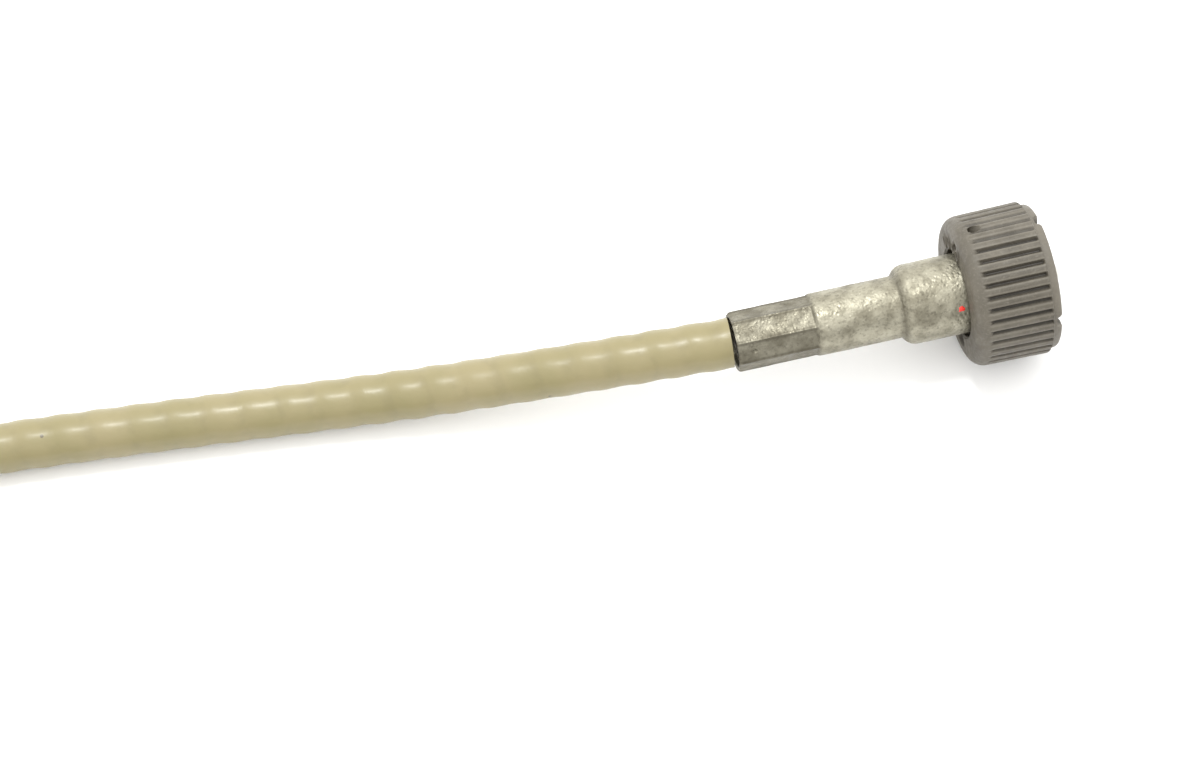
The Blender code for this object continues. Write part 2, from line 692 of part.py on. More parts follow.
def far_sleeve(shop, finish):
    """Smaller sleeve at the other end of the cable."""
    edge = 0.25 * MM
    outer = [
        (FAR_SPIGOT_DIAMETER / 2 - edge, FAR_SPIGOT_END),
        (FAR_SPIGOT_DIAMETER / 2, FAR_SPIGOT_END - edge),
        (FAR_SPIGOT_DIAMETER / 2, FAR_COLLAR_FRONT),
        (FAR_COLLAR_R, FAR_COLLAR_FRONT),
        (FAR_COLLAR_R, FAR_COLLAR_BACK),
        (FAR_SLEEVE_R, FAR_COLLAR_BACK),
        (FAR_SLEEVE_R, edge),
        (FAR_SLEEVE_R - edge, 0.0),
    ]
    bore = stepped_bore(FAR_CRIMP_LENGTH, FAR_POCKET_START, FAR_POCKET_R, FAR_SPIGOT_END)
    sleeve = shop.add(turned("far_sleeve", outer + bore, SLEEVE_SEGMENTS), "far_axis", finish)
    press_crimp(
        shop, sleeve, "far_crimp_die", "far_axis", FAR_CORNER_DIAMETER, FAR_SLEEVE_R,
        FAR_CRIMP_LENGTH,
    )


def far_nut(shop, finish):
    """Hexagonal nut of the far end, with chamfered corners."""
    flat_r = FAR_NUT_FLATS / 2
    chamfer = THREAD_CHAMFER
    major_r = FAR_THREAD_MAJOR / 2
    minor_r = major_r - FAR_THREAD_DEPTH
    outer = [
        (flat_r, FAR_NUT_FRONT),
        (FAR_NUT_CORNER_R, FAR_NUT_FRONT - FAR_NUT_CORNER_SLOPE),
        (FAR_NUT_CORNER_R, FAR_NUT_BACK + FAR_NUT_CORNER_SLOPE),
        (flat_r, FAR_NUT_BACK),
    ]
    thread_start = FAR_NUT_FLOOR + FAR_UNDERCUT_LENGTH + chamfer
    thread_end = thread_start + FAR_THREAD_PITCH * FAR_THREAD_TURNS
    bore = [
        (FAR_NUT_BORE_R + chamfer, FAR_NUT_BACK),
        (FAR_NUT_BORE_R, FAR_NUT_BACK + chamfer),
        (FAR_NUT_BORE_R, FAR_NUT_FLOOR),
        (major_r, FAR_NUT_FLOOR),
        (major_r, FAR_NUT_FLOOR + FAR_UNDERCUT_LENGTH),
    ]
    bore += thread_profile(thread_start, FAR_THREAD_PITCH, FAR_THREAD_TURNS, minor_r, major_r)
    bore += [(major_r, thread_end + FAR_THREAD_PITCH / 2), (major_r + chamfer, FAR_NUT_FRONT)]
    nut = shop.add(turned("far_nut", outer + bore, SLEEVE_SEGMENTS), "far_axis", finish)
    flats = regular_outline(FAR_NUT_CORNER_R, 6, 0.0)
    hexagon = flat_prism("far_nut_hexagon", [flats], FAR_NUT_LENGTH + DIE_OVERSHOOT)
    hexagon.location.z = (FAR_NUT_FRONT + FAR_NUT_BACK) / 2
    boolean(nut, shop.add_cutter(hexagon, "far_axis"), "INTERSECT")


def far_shaft_tip(shop, finish):
    """Drive tip of the far end, ending in a flat tongue."""
    socket_r = SHAFT_R + SHAFT_SOCKET_WALL
    profile = [
        (0.0, FAR_JOURNAL_END),
        (FAR_JOURNAL_R, FAR_JOURNAL_END),
        (FAR_JOURNAL_R, FAR_FLANGE_FRONT),
        (FAR_FLANGE_DIAMETER / 2, FAR_FLANGE_FRONT),
        (FAR_FLANGE_DIAMETER / 2, FAR_FLANGE_BACK),
        (socket_r, FAR_FLANGE_BACK),
        (socket_r, FAR_SOCKET_BACK),
        (0.0, FAR_SOCKET_BACK),
    ]
    tip = turned("far_shaft_tip", profile, SMALL_SEGMENTS, closed=False)
    shop.add(tip, "far_axis", finish)
    overlap = 0.5 * MM
    length = FAR_TIP_END - FAR_JOURNAL_END + overlap
    tongue = block("drive_tongue", (TONGUE_THICKNESS, TONGUE_WIDTH, length))
    tongue.location.z = FAR_TIP_END - length / 2
    bevel(tongue, SQUARE_BEVEL)
    boolean(tip, shop.add_cutter(tongue, "far_axis"), "UNION")


def far_loose_pieces(shop, finishes):
    """Washer behind the far collar, far bush and far shaft washer."""
    washer = ring(
        "far_thrust_washer", FAR_SLEEVE_R + CLEARANCE, FAR_COLLAR_R,
        FAR_WASHER_SEAT - FAR_WASHER_THICKNESS, FAR_WASHER_SEAT,
    )
    shop.add(washer, "far_axis", finishes["brass"])
    bush_r = FAR_POCKET_R - CLEARANCE
    bush = ring(
        "far_guide_bush", FAR_JOURNAL_R + RUNNING_GAP, bush_r, FAR_BUSH_BACK, FAR_BUSH_FRONT
    )
    shop.add(bush, "far_axis", finishes["bronze"])
    shaft_washer = ring(
        "far_shaft_washer", FAR_JOURNAL_R + RUNNING_GAP, bush_r,
        FAR_WASHER_FRONT - SHAFT_WASHER_THICKNESS, FAR_WASHER_FRONT,
    )
    shop.add(shaft_washer, "far_axis", finishes["nylon"])


def smooth_route(route, spacing):
    """Points read every spacing or so from a smooth curve through a route."""
    points = [Vector(point) * MM for point in route]
    before = points[0] * 2 - points[1]
    after = points[-1] * 2 - points[-2]
    chain = [before] + points + [after]
    result = [points[0]]
    for index in range(1, len(chain) - 2):
        p0, p1, p2, p3 = chain[index - 1:index + 3]
        pieces = max(1, round((p2 - p1).length / spacing))
        for piece in range(1, pieces + 1):
            t = piece / pieces
            term = 2 * p1 + (p2 - p0) * t
            term += (2 * p0 - 5 * p1 + 4 * p2 - p3) * t * t
            term += (3 * p1 - p0 - 3 * p2 + p3) * t * t * t
            result.append(term / 2)
    return result


def cable_tube(shop, name, route, finish):
    """Round cable along a route, with filled ends."""
    curve = bpy.data.curves.new(name, "CURVE")
    curve.dimensions = "3D"
    curve.bevel_depth = CABLE_R
    curve.bevel_resolution = 3
    curve.use_fill_caps = True
    points = smooth_route(route, CABLE_POINT_SPACING)
    spline = curve.splines.new("POLY")
    spline.points.add(len(points) - 1)
    for spline_point, place in zip(spline.points, points):
        spline_point.co = (*place, 1.0)
    cable = bpy.data.objects.new(name, curve)
    curve.materials.append(finish)
    shop.parts.objects.link(cable)


def cable_coil(shop, finish):
    """Outer shape of the wound turns: a flat ring with rounded edges."""
    middle = COIL_LIFT + CABLE_R
    points = []
    steps = 4
    for step in range(steps + 1):
        turn = math.pi / 2 - math.pi * step / steps
        radius = COIL_OUTER_TURN + CABLE_R * math.cos(turn)
        points.append((radius, middle + CABLE_R * math.sin(turn)))
    for step in range(steps + 1):
        turn = -math.pi / 2 - math.pi * step / steps
        radius = COIL_INNER_TURN + CABLE_R * math.cos(turn)
        points.append((radius, middle + CABLE_R * math.sin(turn)))
    coil = turned("cable_coil", points, COIL_SEGMENTS)
    coil.location = (*COIL_CENTRE, 0.0)
    shop.add(coil, None, finish)


def rounded_box_outline(low, high, radius):
    """Rectangle outline with round corners, counter-clockwise."""
    steps = 4
    corners = (
        (high[0] - radius, high[1] - radius, 0.0),
        (low[0] + radius, high[1] - radius, 90.0),
        (low[0] + radius, low[1] + radius, 180.0),
        (high[0] - radius, low[1] + radius, 270.0),
    )
    points = []
    for x, y, first in corners:
        for step in range(steps + 1):
            dx, dy = polar(radius, first + 90.0 * step / steps)
            points.append((x + dx, y + dy))
    return points


def coil_tie(shop, name, angle, finish):
    """Flat strap round the wound turns, with its locking head on top."""
    gap = CLEARANCE
    low = (COIL_INNER_R - gap, COIL_LIFT - gap)
    high = (COIL_OUTER_R + gap, COIL_TOP + gap)
    wall = TIE_THICKNESS
    round_inside = TIE_INSIDE_ROUND
    outer_low = (low[0] - wall, low[1] - wall)
    outer_high = (high[0] + wall, high[1] + wall)
    outlines = [
        rounded_box_outline(outer_low, outer_high, round_inside + wall),
        rounded_box_outline(low, high, round_inside),
    ]
    tie = flat_prism(name, outlines, TIE_WIDTH)
    tie.rotation_euler = (math.pi / 2, 0.0, math.radians(angle))
    tie.location = (*COIL_CENTRE, 0.0)
    shop.add(tie, None, finish)
    head = block(name + "_head", TIE_HEAD)
    x, y = polar((low[0] + high[0]) / 2, angle)
    head.location = (
        COIL_CENTRE[0] + x,
        COIL_CENTRE[1] + y,
        outer_high[1] - TIE_HEAD_SINK + TIE_HEAD[2] / 2,
    )
    head.rotation_euler = (0.0, 0.0, math.radians(angle))
    bevel(head, TIE_HEAD_BEVEL)
    boolean(tie, shop.add_cutter(head), "UNION")


def make_finishes():
    return {
        "zinc": material("zinc_steel", (0.50, 0.48, 0.42), 0.42, 0.9),
        "plastic": material("grey_moulded_plastic", (0.17, 0.155, 0.135), 0.62, 0.0),
        "sheath": material("khaki_sheath", (0.52, 0.48, 0.31), 0.45, 0.0),
        "conduit": material("wound_steel", (0.45, 0.44, 0.42), 0.4, 1.0),
        "steel": material("bright_steel", (0.62, 0.61, 0.58), 0.3, 1.0),
        "brass": material("brass_washer", (0.70, 0.55, 0.28), 0.35, 1.0),
        "bronze": material("bronze_bush", (0.55, 0.38, 0.22), 0.45, 1.0),
        "nylon": material("natural_nylon", (0.82, 0.80, 0.74), 0.5, 0.0),
        "rubber": material("black_rubber", (0.03, 0.03, 0.03), 0.7, 0.0),
        "tie": material("black_nylon_tie", (0.05, 0.05, 0.05), 0.5, 0.0),
    }


def build():
    clear_scene()
    shop = Workshop()
    finishes = make_finishes()
    near_mouth = (-NEAR_LENGTH / 2, 0.0, NUT_R)
    far_mouth = (
        COIL_CENTRE[0] + FAR_MOUTH_OFFSET[0],
        COIL_CENTRE[1] + FAR_MOUTH_OFFSET[1],
        FAR_AXIS_HEIGHT,
    )
    shop.add_axis("near_axis", near_mouth, math.pi / 2)
    shop.add_axis("far_axis", far_mouth, -math.pi / 2)

    end_sleeve(shop, finishes["zinc"])
    union_nut(shop, finishes["plastic"])
    near_loose_pieces(shop, finishes)
    seal_ring(
        shop, "seal_ring", "near_axis", SPIGOT_R, COLLAR_FRONT, SEAL_SECTION, finishes["rubber"]
    )
    conduit_and_sheath(shop, "", "near_axis", CRIMP_LENGTH, finishes)
    inner_shaft(shop, "inner_shaft", "near_axis", SOCKET_BACK - CLEARANCE, finishes["conduit"])
    shaft_tip(shop, finishes["steel"])
    retaining_clip(shop, finishes["steel"])

    far_sleeve(shop, finishes["zinc"])
    far_nut(shop, finishes["steel"])
    far_loose_pieces(shop, finishes)
    seal_ring(
        shop, "far_seal_ring", "far_axis", FAR_SPIGOT_DIAMETER / 2, FAR_COLLAR_FRONT,
        FAR_SEAL_SECTION, finishes["rubber"],
    )
    conduit_and_sheath(shop, "far_", "far_axis", FAR_CRIMP_LENGTH, finishes)
    inner_shaft(
        shop, "far_inner_shaft", "far_axis", FAR_SOCKET_BACK - CLEARANCE, finishes["conduit"]
    )
    far_shaft_tip(shop, finishes["steel"])

    cable_tube(shop, "cable_run", RUN_ROUTE, finishes["sheath"])
    cable_tube(shop, "cable_tail", TAIL_ROUTE, finishes["sheath"])
    cable_coil(shop, finishes["sheath"])
    for index, angle in enumerate(TIE_ANGLES):
        coil_tie(shop, "coil_tie_" + str(index + 1), angle, finishes["tie"])
    bpy.context.view_layer.update()


build()
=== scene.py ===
"""Looks of the flexible drive cable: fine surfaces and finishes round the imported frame.

The near fitting lies along +X, its sheathed cable runs back along -X, lies down
and is wound into a small coil that carries the other fitting.  Places along a
fitting are counted from the mouth where its cable enters.
"""

import logging
import math
from dataclasses import dataclass, field
from enum import Enum

import bpy
import numpy as np
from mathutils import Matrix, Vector


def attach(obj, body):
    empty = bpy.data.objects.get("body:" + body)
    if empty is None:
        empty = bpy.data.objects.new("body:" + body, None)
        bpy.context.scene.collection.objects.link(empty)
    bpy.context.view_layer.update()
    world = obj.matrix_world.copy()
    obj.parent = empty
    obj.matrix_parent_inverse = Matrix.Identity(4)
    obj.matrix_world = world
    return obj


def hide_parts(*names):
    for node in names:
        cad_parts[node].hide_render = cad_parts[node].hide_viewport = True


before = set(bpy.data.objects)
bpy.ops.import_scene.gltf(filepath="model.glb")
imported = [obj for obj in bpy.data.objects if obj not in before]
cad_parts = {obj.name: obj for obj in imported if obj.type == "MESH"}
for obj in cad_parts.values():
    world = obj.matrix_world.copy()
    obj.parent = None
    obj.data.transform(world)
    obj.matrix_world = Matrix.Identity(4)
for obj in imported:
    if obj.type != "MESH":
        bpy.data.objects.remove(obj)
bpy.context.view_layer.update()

LOG = logging.getLogger("drive_cable")
MM = 0.001
TURN = 2.0 * math.pi

Array = np.ndarray
Socket = bpy.types.NodeSocket
Point = tuple[float, float, float]
Colour = tuple[float, float, float]
Profile = tuple[tuple[float, float], ...]
Route = tuple[Point, ...]

COIL_CENTRE = (-204.6, -30.7)


# ---------------------------------------------------------------- surfaces


class Closing(Enum):
    """How the two ends of a swept grid are finished."""

    LOOP = "the last row joins the first"
    CAPS = "each end row is filled by a fan"


def smooth_step(low: float, high: float, value: Array) -> Array:
    """Ease from 0 at low to 1 at high: 3t squared minus 2t cubed of the clipped share t.

    Args:
        low: Value where the result is 0.
        high: Value where the result is 1.
        value: Values to ease.

    Returns:
        The eased shares, of the shape of value.
    """
    share = np.clip((value - low) / (high - low), 0.0, 1.0)
    return share * share * (3.0 - 2.0 * share)


def wrapped(angle: Array) -> Array:
    """Bring angles in degrees to the stretch from -180 to 180."""
    return (angle + 180.0) % 360.0 - 180.0


def bell(distance: Array, width: float) -> Array:
    """Bell curve: e to the power of minus the square of distance over width."""
    return np.exp(-((distance / width) ** 2))


def round_turn(count: int) -> Array:
    """Angles of one whole turn in equal steps, in radians."""
    return np.arange(count) * TURN / count


def rounded_square(turn: Array, power: float) -> tuple[Array, Array]:
    """Outline of a rounded square: the sign of cos or sin times its size raised to a power.

    Args:
        turn: Angles in radians.
        power: 1 gives a circle, and less gives squarer corners.

    Returns:
        The outline's two coordinates at each angle, from -1 to 1.
    """
    x = np.sign(np.cos(turn)) * np.abs(np.cos(turn)) ** power
    y = np.sign(np.sin(turn)) * np.abs(np.sin(turn)) ** power
    return x, y


def divided_profile(points: Profile, spacing: float) -> Array:
    """Divide a chain of straight stretches evenly.

    Args:
        points: Corners of the chain.
        spacing: Longest step along a stretch.

    Returns:
        The points of the chain, each corner once, in an array of two columns.
    """
    parts = []
    for start, end in zip(points[:-1], points[1:]):
        first = np.array(start)
        last = np.array(end)
        steps = max(1, int(np.ceil(np.linalg.norm(last - first) / spacing)))
        share = np.arange(steps)[:, None] / steps
        parts.append(first + (last - first) * share)
    parts.append(np.array([points[-1]]))
    return np.vstack(parts)


def grid_faces(rows: int, columns: int, loop: bool) -> Array:
    """Corner numbers of the quads between neighbouring rows of a grid closed round its columns.

    Args:
        rows: Number of rows.
        columns: Number of columns; the last joins the first.
        loop: Whether the last row joins the first too.

    Returns:
        An array of four corner numbers for each quad.
    """
    row = np.arange(rows if loop else rows - 1)[:, None]
    column = np.arange(columns)[None, :]
    next_row = (row + 1) % rows
    next_column = (column + 1) % columns
    around = [
        row * columns + column,
        row * columns + next_column,
        next_row * columns + next_column,
        next_row * columns + column,
    ]
    quads = [np.broadcast_to(corner, (len(row), columns)) for corner in around]
    return np.stack(quads, -1).reshape(-1, 4)


def enclosed_volume(points: Array, faces: Array) -> float:
    """Volume inside quads: the sum of the cones from the origin to each quad's two triangles.

    Args:
        points: Places of the corners.
        faces: Four corner numbers for each quad.

    Returns:
        The volume, below 0 if the quads face inwards.
    """
    a, b, c, d = (points[faces[:, index]] for index in range(4))
    first = np.einsum("ij,ij->i", a, np.cross(b, c))
    second = np.einsum("ij,ij->i", a, np.cross(c, d))
    return float((first + second).sum() / 6.0)


def link_mesh(name: str, mesh: bpy.types.Mesh) -> bpy.types.Object:
    """Put a mesh in the scene as an object at the origin.

    Args:
        name: Name of the object.
        mesh: Its mesh.

    Returns:
        The new object.
    """
    piece = bpy.data.objects.new(name, mesh)
    bpy.context.scene.collection.objects.link(piece)
    return piece


def swept_piece(name: str, points: Array, closing: Closing, **marks: Array) -> bpy.types.Object:
    """Make a smooth piece of a grid of points that is closed round its columns.

    Args:
        name: Name of the piece.
        points: Grid of places, rows by columns by three.
        closing: How the first and last row are finished.
        marks: Named grids of one number for each point, kept as attributes.

    Returns:
        The new object, its faces pointing outwards.
    """
    rows, columns = points.shape[:2]
    flat = points.reshape(-1, 3)
    faces = grid_faces(rows, columns, closing is Closing.LOOP)
    if closing is Closing.CAPS:
        ends = np.stack([points[0].mean(0), points[-1].mean(0)])
        flat = np.vstack([flat, ends])
        around = np.arange(columns)
        beyond = (around + 1) % columns
        first = np.stack([np.full(columns, len(flat) - 2), beyond, around, around], -1)
        final = (rows - 1) * columns + beyond
        start = (rows - 1) * columns + around
        last = np.stack([np.full(columns, len(flat) - 1), start, final, final], -1)
        faces = np.vstack([faces, first, last])
    if enclosed_volume(flat, faces) < 0.0:
        faces = faces[:, ::-1]
    polygons = [tuple(dict.fromkeys(face)) for face in faces.tolist()]
    mesh = bpy.data.meshes.new(name)
    mesh.from_pydata(flat.tolist(), [], polygons)
    mesh.shade_smooth()
    for label, grid in marks.items():
        layer = mesh.attributes.new(label, "FLOAT", "POINT")
        values = np.zeros(len(flat), np.float32)
        values[: rows * columns] = grid.reshape(-1)
        layer.data.foreach_set("value", values)
    return link_mesh(name, mesh)


def mark_sharp(piece: bpy.types.Object, degrees: float) -> None:
    """Keep edges that turn by more than an angle crisp in a smooth piece."""
    piece.data.set_sharp_from_angle(angle=math.radians(degrees))


@dataclass(frozen=True)
class Fitting:
    """An end fitting's own cylinder coordinates."""

    mouth: Point
    outward: float

    def place(self, along: Array, radius: Array, degrees: Array) -> Array:
        """Turn places along the fitting, radii and angles into points.

        Args:
            along: Places counted from the mouth.
            radius: Distances from the axis.
            degrees: Angles from +Y towards +Z.

        Returns:
            Points, with the arguments broadcast against each other.
        """
        along, radius, degrees = np.broadcast_arrays(along, radius, degrees)
        angle = np.radians(degrees)
        x = self.mouth[0] + self.outward * along
        y = self.mouth[1] + radius * np.cos(angle)
        z = self.mouth[2] + radius * np.sin(angle)
        return np.stack([x, y, z], -1)

    def turned(self, name: str, section: Array, columns: int) -> bpy.types.Object:
        """Turn a closed section round the axis.

        Args:
            name: Name of the piece.
            section: Points of (place, radius) in metres.
            columns: Steps round the axis.

        Returns:
            The turned ring.
        """
        angles = np.arange(columns) * 360.0 / columns
        grid = self.place(section[:, :1], section[:, 1:], angles[None, :])
        piece = swept_piece(name, grid, Closing.LOOP)
        mark_sharp(piece, 35.0)
        return piece


def catmull_rom(route: Array, spacing: float) -> Array:
    """Read a smooth curve through route points.

    Each stretch is the cubic through its two points whose slopes there are half
    the step between their neighbours.

    Args:
        route: Points of the route.
        spacing: Step between the points read, about.

    Returns:
        Points along the curve, both ends included.
    """
    before = 2 * route[0] - route[1]
    after = 2 * route[-1] - route[-2]
    chain = np.vstack([before, route, after])
    parts = [route[:1]]
    for p0, p1, p2, p3 in zip(chain[:-3], chain[1:-2], chain[2:-1], chain[3:]):
        pieces = max(1, int(round(np.linalg.norm(p2 - p1) / spacing)))
        t = (np.arange(pieces)[:, None] + 1) / pieces
        linear = (p2 - p0) * t
        square = (2 * p0 - 5 * p1 + 4 * p2 - p3) * t**2
        cube = (3 * p1 - p0 - 3 * p2 + p3) * t**3
        parts.append((2 * p1 + linear + square + cube) / 2)
    return np.vstack(parts)


def evenly(points: Array, spacing: float) -> tuple[Array, Array]:
    """Read a chain again at an even spacing.

    Args:
        points: Points of the chain.
        spacing: Step wanted between the new points.

    Returns:
        The new points and their distances along the chain.
    """
    steps = np.linalg.norm(np.diff(points, axis=0), axis=1)
    along = np.concatenate([[0.0], np.cumsum(steps)])
    count = int(round(along[-1] / spacing)) + 1
    wanted = np.linspace(0.0, along[-1], count)
    read = np.stack([np.interp(wanted, along, points[:, axis]) for axis in range(3)], -1)
    return read, wanted


def softened(points: Array, passes: int) -> Array:
    """Take the kinks out of a chain: each pass moves a point half way to its neighbours' mean.

    Args:
        points: Points of the chain.
        passes: Number of passes.

    Returns:
        The eased chain, its two ends where they were.
    """
    result = points.copy()
    for _ in range(passes):
        middle = (result[:-2] + result[2:]) / 2
        result[1:-1] = (result[1:-1] + middle) / 2
    return result


# ---------------------------------------------------------------- finishes


class Sketch:
    """A node material in the making."""

    def __init__(self, name: str) -> None:
        """Start a material that holds only its Principled shader.

        Args:
            name: Name of the material.
        """
        self.material = bpy.data.materials.new(name)
        self.material.use_nodes = True
        self.tree = self.material.node_tree
        self.shader = self.tree.nodes["Principled BSDF"]
        self.coordinates = self.tree.nodes.new("ShaderNodeTexCoord")

    def join(self, source: Socket, target: Socket) -> None:
        """Link an output socket to an input socket."""
        self.tree.links.new(source, target)

    def stretched(self, scale: Point) -> Socket:
        """Object coordinates stretched along the axes.

        Args:
            scale: Factor for each axis.

        Returns:
            The stretched coordinates.
        """
        node = self.tree.nodes.new("ShaderNodeMapping")
        node.inputs["Scale"].default_value = scale
        self.join(self.coordinates.outputs["Object"], node.inputs["Vector"])
        return node.outputs["Vector"]

    def noise(
        self, scale: float, detail: float, vector: Socket | None = None, roughness: float = 0.55
    ) -> Socket:
        """Cloudy noise.

        Args:
            scale: Clouds in a metre, about.
            detail: Number of finer layers.
            vector: Coordinates to read, the Object ones if none are given.
            roughness: Weight of the finer layers.

        Returns:
            The noise, about 0.5 in the middle.
        """
        node = self.tree.nodes.new("ShaderNodeTexNoise")
        node.inputs["Scale"].default_value = scale
        node.inputs["Detail"].default_value = detail
        node.inputs["Roughness"].default_value = roughness
        self.join(vector or self.coordinates.outputs["Object"], node.inputs["Vector"])
        return node.outputs["Fac"]

    def cells(self, scale: float) -> Socket:
        """Distance to the nearest of many scattered points.

        Args:
            scale: Points in a metre, about.

        Returns:
            The distance, in steps between the points.
        """
        node = self.tree.nodes.new("ShaderNodeTexVoronoi")
        node.inputs["Scale"].default_value = scale
        self.join(self.coordinates.outputs["Object"], node.inputs["Vector"])
        return node.outputs["Distance"]

    def mark(self, name: str) -> Socket:
        """The number that a surface carries under a name."""
        node = self.tree.nodes.new("ShaderNodeAttribute")
        node.attribute_name = name
        return node.outputs["Fac"]

    def ranged(
        self, source: Socket, low: float, high: float, first: float = 0.0, last: float = 1.0
    ) -> Socket:
        """Map a value's stretch on another stretch, clamped.

        Args:
            source: Value to map.
            low: Where the stretch of the value begins.
            high: Where it ends.
            first: Result at low.
            last: Result at high.

        Returns:
            The mapped value.
        """
        node = self.tree.nodes.new("ShaderNodeMapRange")
        node.inputs["From Min"].default_value = low
        node.inputs["From Max"].default_value = high
        node.inputs["To Min"].default_value = first
        node.inputs["To Max"].default_value = last
        self.join(source, node.inputs["Value"])
        return node.outputs["Result"]

    def product(self, first: Socket, second: Socket | float) -> Socket:
        """Multiply a value by another.

        Args:
            first: First factor.
            second: Second factor, a socket or a number.

        Returns:
            The product.
        """
        node = self.tree.nodes.new("ShaderNodeMath")
        node.operation = "MULTIPLY"
        self.join(first, node.inputs[0])
        if isinstance(second, float):
            node.inputs[1].default_value = second
        else:
            self.join(second, node.inputs[1])
        return node.outputs["Value"]

    def blend(self, share: Socket, first: Socket | Colour, second: Socket | Colour) -> Socket:
        """Mix two colours.

        Args:
            share: Share of the second colour.
            first: Colour where the share is 0, a socket or a plain colour.
            second: Colour where the share is 1, a socket or a plain colour.

        Returns:
            The mixed colour.
        """
        node = self.tree.nodes.new("ShaderNodeMix")
        node.data_type = "RGBA"
        self.join(share, node.inputs["Factor"])
        for label, value in (("A", first), ("B", second)):
            socket = next(s for s in node.inputs if s.name == label and s.type == "RGBA")
            if isinstance(value, tuple):
                socket.default_value = (*value, 1.0)
            else:
                self.join(value, socket)
        return next(s for s in node.outputs if s.type == "RGBA")

    def bump(self, heights: list[tuple[Socket, float]]) -> None:
        """Raise the surface by several patterns, one on the other.

        Args:
            heights: Each pattern's height and the distance that a height of 1 stands for.
        """
        normal = None
        for height, distance in heights:
            node = self.tree.nodes.new("ShaderNodeBump")
            node.inputs["Distance"].default_value = distance
            node.inputs["Strength"].default_value = 1.0
            self.join(height, node.inputs["Height"])
            if normal is not None:
                self.join(normal, node.inputs["Normal"])
            normal = node.outputs["Normal"]
        self.join(normal, self.shader.inputs["Normal"])

    def set(self, **values: float) -> None:
        """Set plain numbers on the shader's own sockets."""
        for label, value in values.items():
            self.shader.inputs[label.replace("_", " ")].default_value = value

    def finish(self, colour: Socket, roughness: Socket | None = None) -> bpy.types.Material:
        """Join the colour and the roughness to the shader.

        Args:
            colour: Base colour.
            roughness: Roughness, if it varies.

        Returns:
            The finished material.
        """
        self.join(colour, self.shader.inputs["Base Color"])
        if roughness is not None:
            self.join(roughness, self.shader.inputs["Roughness"])
        return self.material


@dataclass(frozen=True)
class CasingVinyl:
    """Khaki vinyl sheath: soft gloss, faint clouds, dirt in its valleys and a few dark specks."""

    light: Colour = (0.236, 0.200, 0.098)
    deep: Colour = (0.204, 0.176, 0.078)
    grime: Colour = (0.110, 0.088, 0.042)
    speck: Colour = (0.030, 0.020, 0.015)

    def material(self) -> bpy.types.Material:
        """Build the node material.

        Returns:
            The material.
        """
        sketch = Sketch("khaki_vinyl")
        cloud = sketch.ranged(sketch.noise(95.0, 3.0), 0.36, 0.66)
        colour = sketch.blend(cloud, self.light, self.deep)
        valley = sketch.ranged(sketch.mark("valley"), 0.45, 1.0, 0.0, 0.16)
        uneven = sketch.ranged(sketch.noise(420.0, 3.0), 0.40, 0.62)
        colour = sketch.blend(sketch.product(valley, uneven), colour, self.grime)
        rare = sketch.ranged(sketch.cells(210.0), 0.075, 0.045)
        chance = sketch.ranged(sketch.noise(130.0, 1.0), 0.58, 0.62)
        colour = sketch.blend(sketch.product(rare, chance), colour, self.speck)
        roughness = sketch.ranged(sketch.noise(260.0, 4.0), 0.3, 0.7, 0.34, 0.50)
        sketch.set(Coat_Weight=0.20, Coat_Roughness=0.24)
        sketch.bump([
            (sketch.noise(1500.0, 2.0), 0.03 * MM),
            (sketch.noise(240.0, 2.0), 0.12 * MM),
        ])
        return sketch.finish(colour, roughness)


@dataclass(frozen=True)
class ZincSteel:
    """Dull zinc plate, pitted and stained; darker where the grime mark holds dirt and painted
    shade.
    """

    name: str = "weathered_zinc"
    bright: Colour = (0.350, 0.330, 0.258)
    dull: Colour = (0.205, 0.190, 0.142)
    stain: Colour = (0.060, 0.052, 0.036)

    def material(self) -> bpy.types.Material:
        """Build the node material.

        Returns:
            The material.
        """
        sketch = Sketch(self.name)
        patch = sketch.ranged(sketch.noise(330.0, 4.0, roughness=0.6), 0.38, 0.62)
        colour = sketch.blend(patch, self.bright, self.dull)
        grain = sketch.ranged(sketch.noise(1900.0, 3.0), 0.52, 0.70)
        colour = sketch.blend(sketch.product(grain, 0.42), colour, self.stain)
        # The grime mark holds dirt and, on the near sleeve, a band of painted shade under the
        # shoulder.
        worn = sketch.ranged(sketch.mark("grime"), 0.0, 1.0, 0.0, 0.85)
        colour = sketch.blend(worn, colour, self.stain)
        roughness = sketch.ranged(sketch.noise(700.0, 3.0), 0.35, 0.65, 0.34, 0.58)
        sketch.set(Metallic=0.82)
        pits = sketch.ranged(sketch.cells(1500.0), 0.0, 0.45)
        sketch.bump([
            (pits, 0.05 * MM),
            (sketch.noise(2600.0, 3.0), 0.05 * MM),
            (sketch.noise(600.0, 3.0), 0.10 * MM),
        ])
        return sketch.finish(colour, roughness)


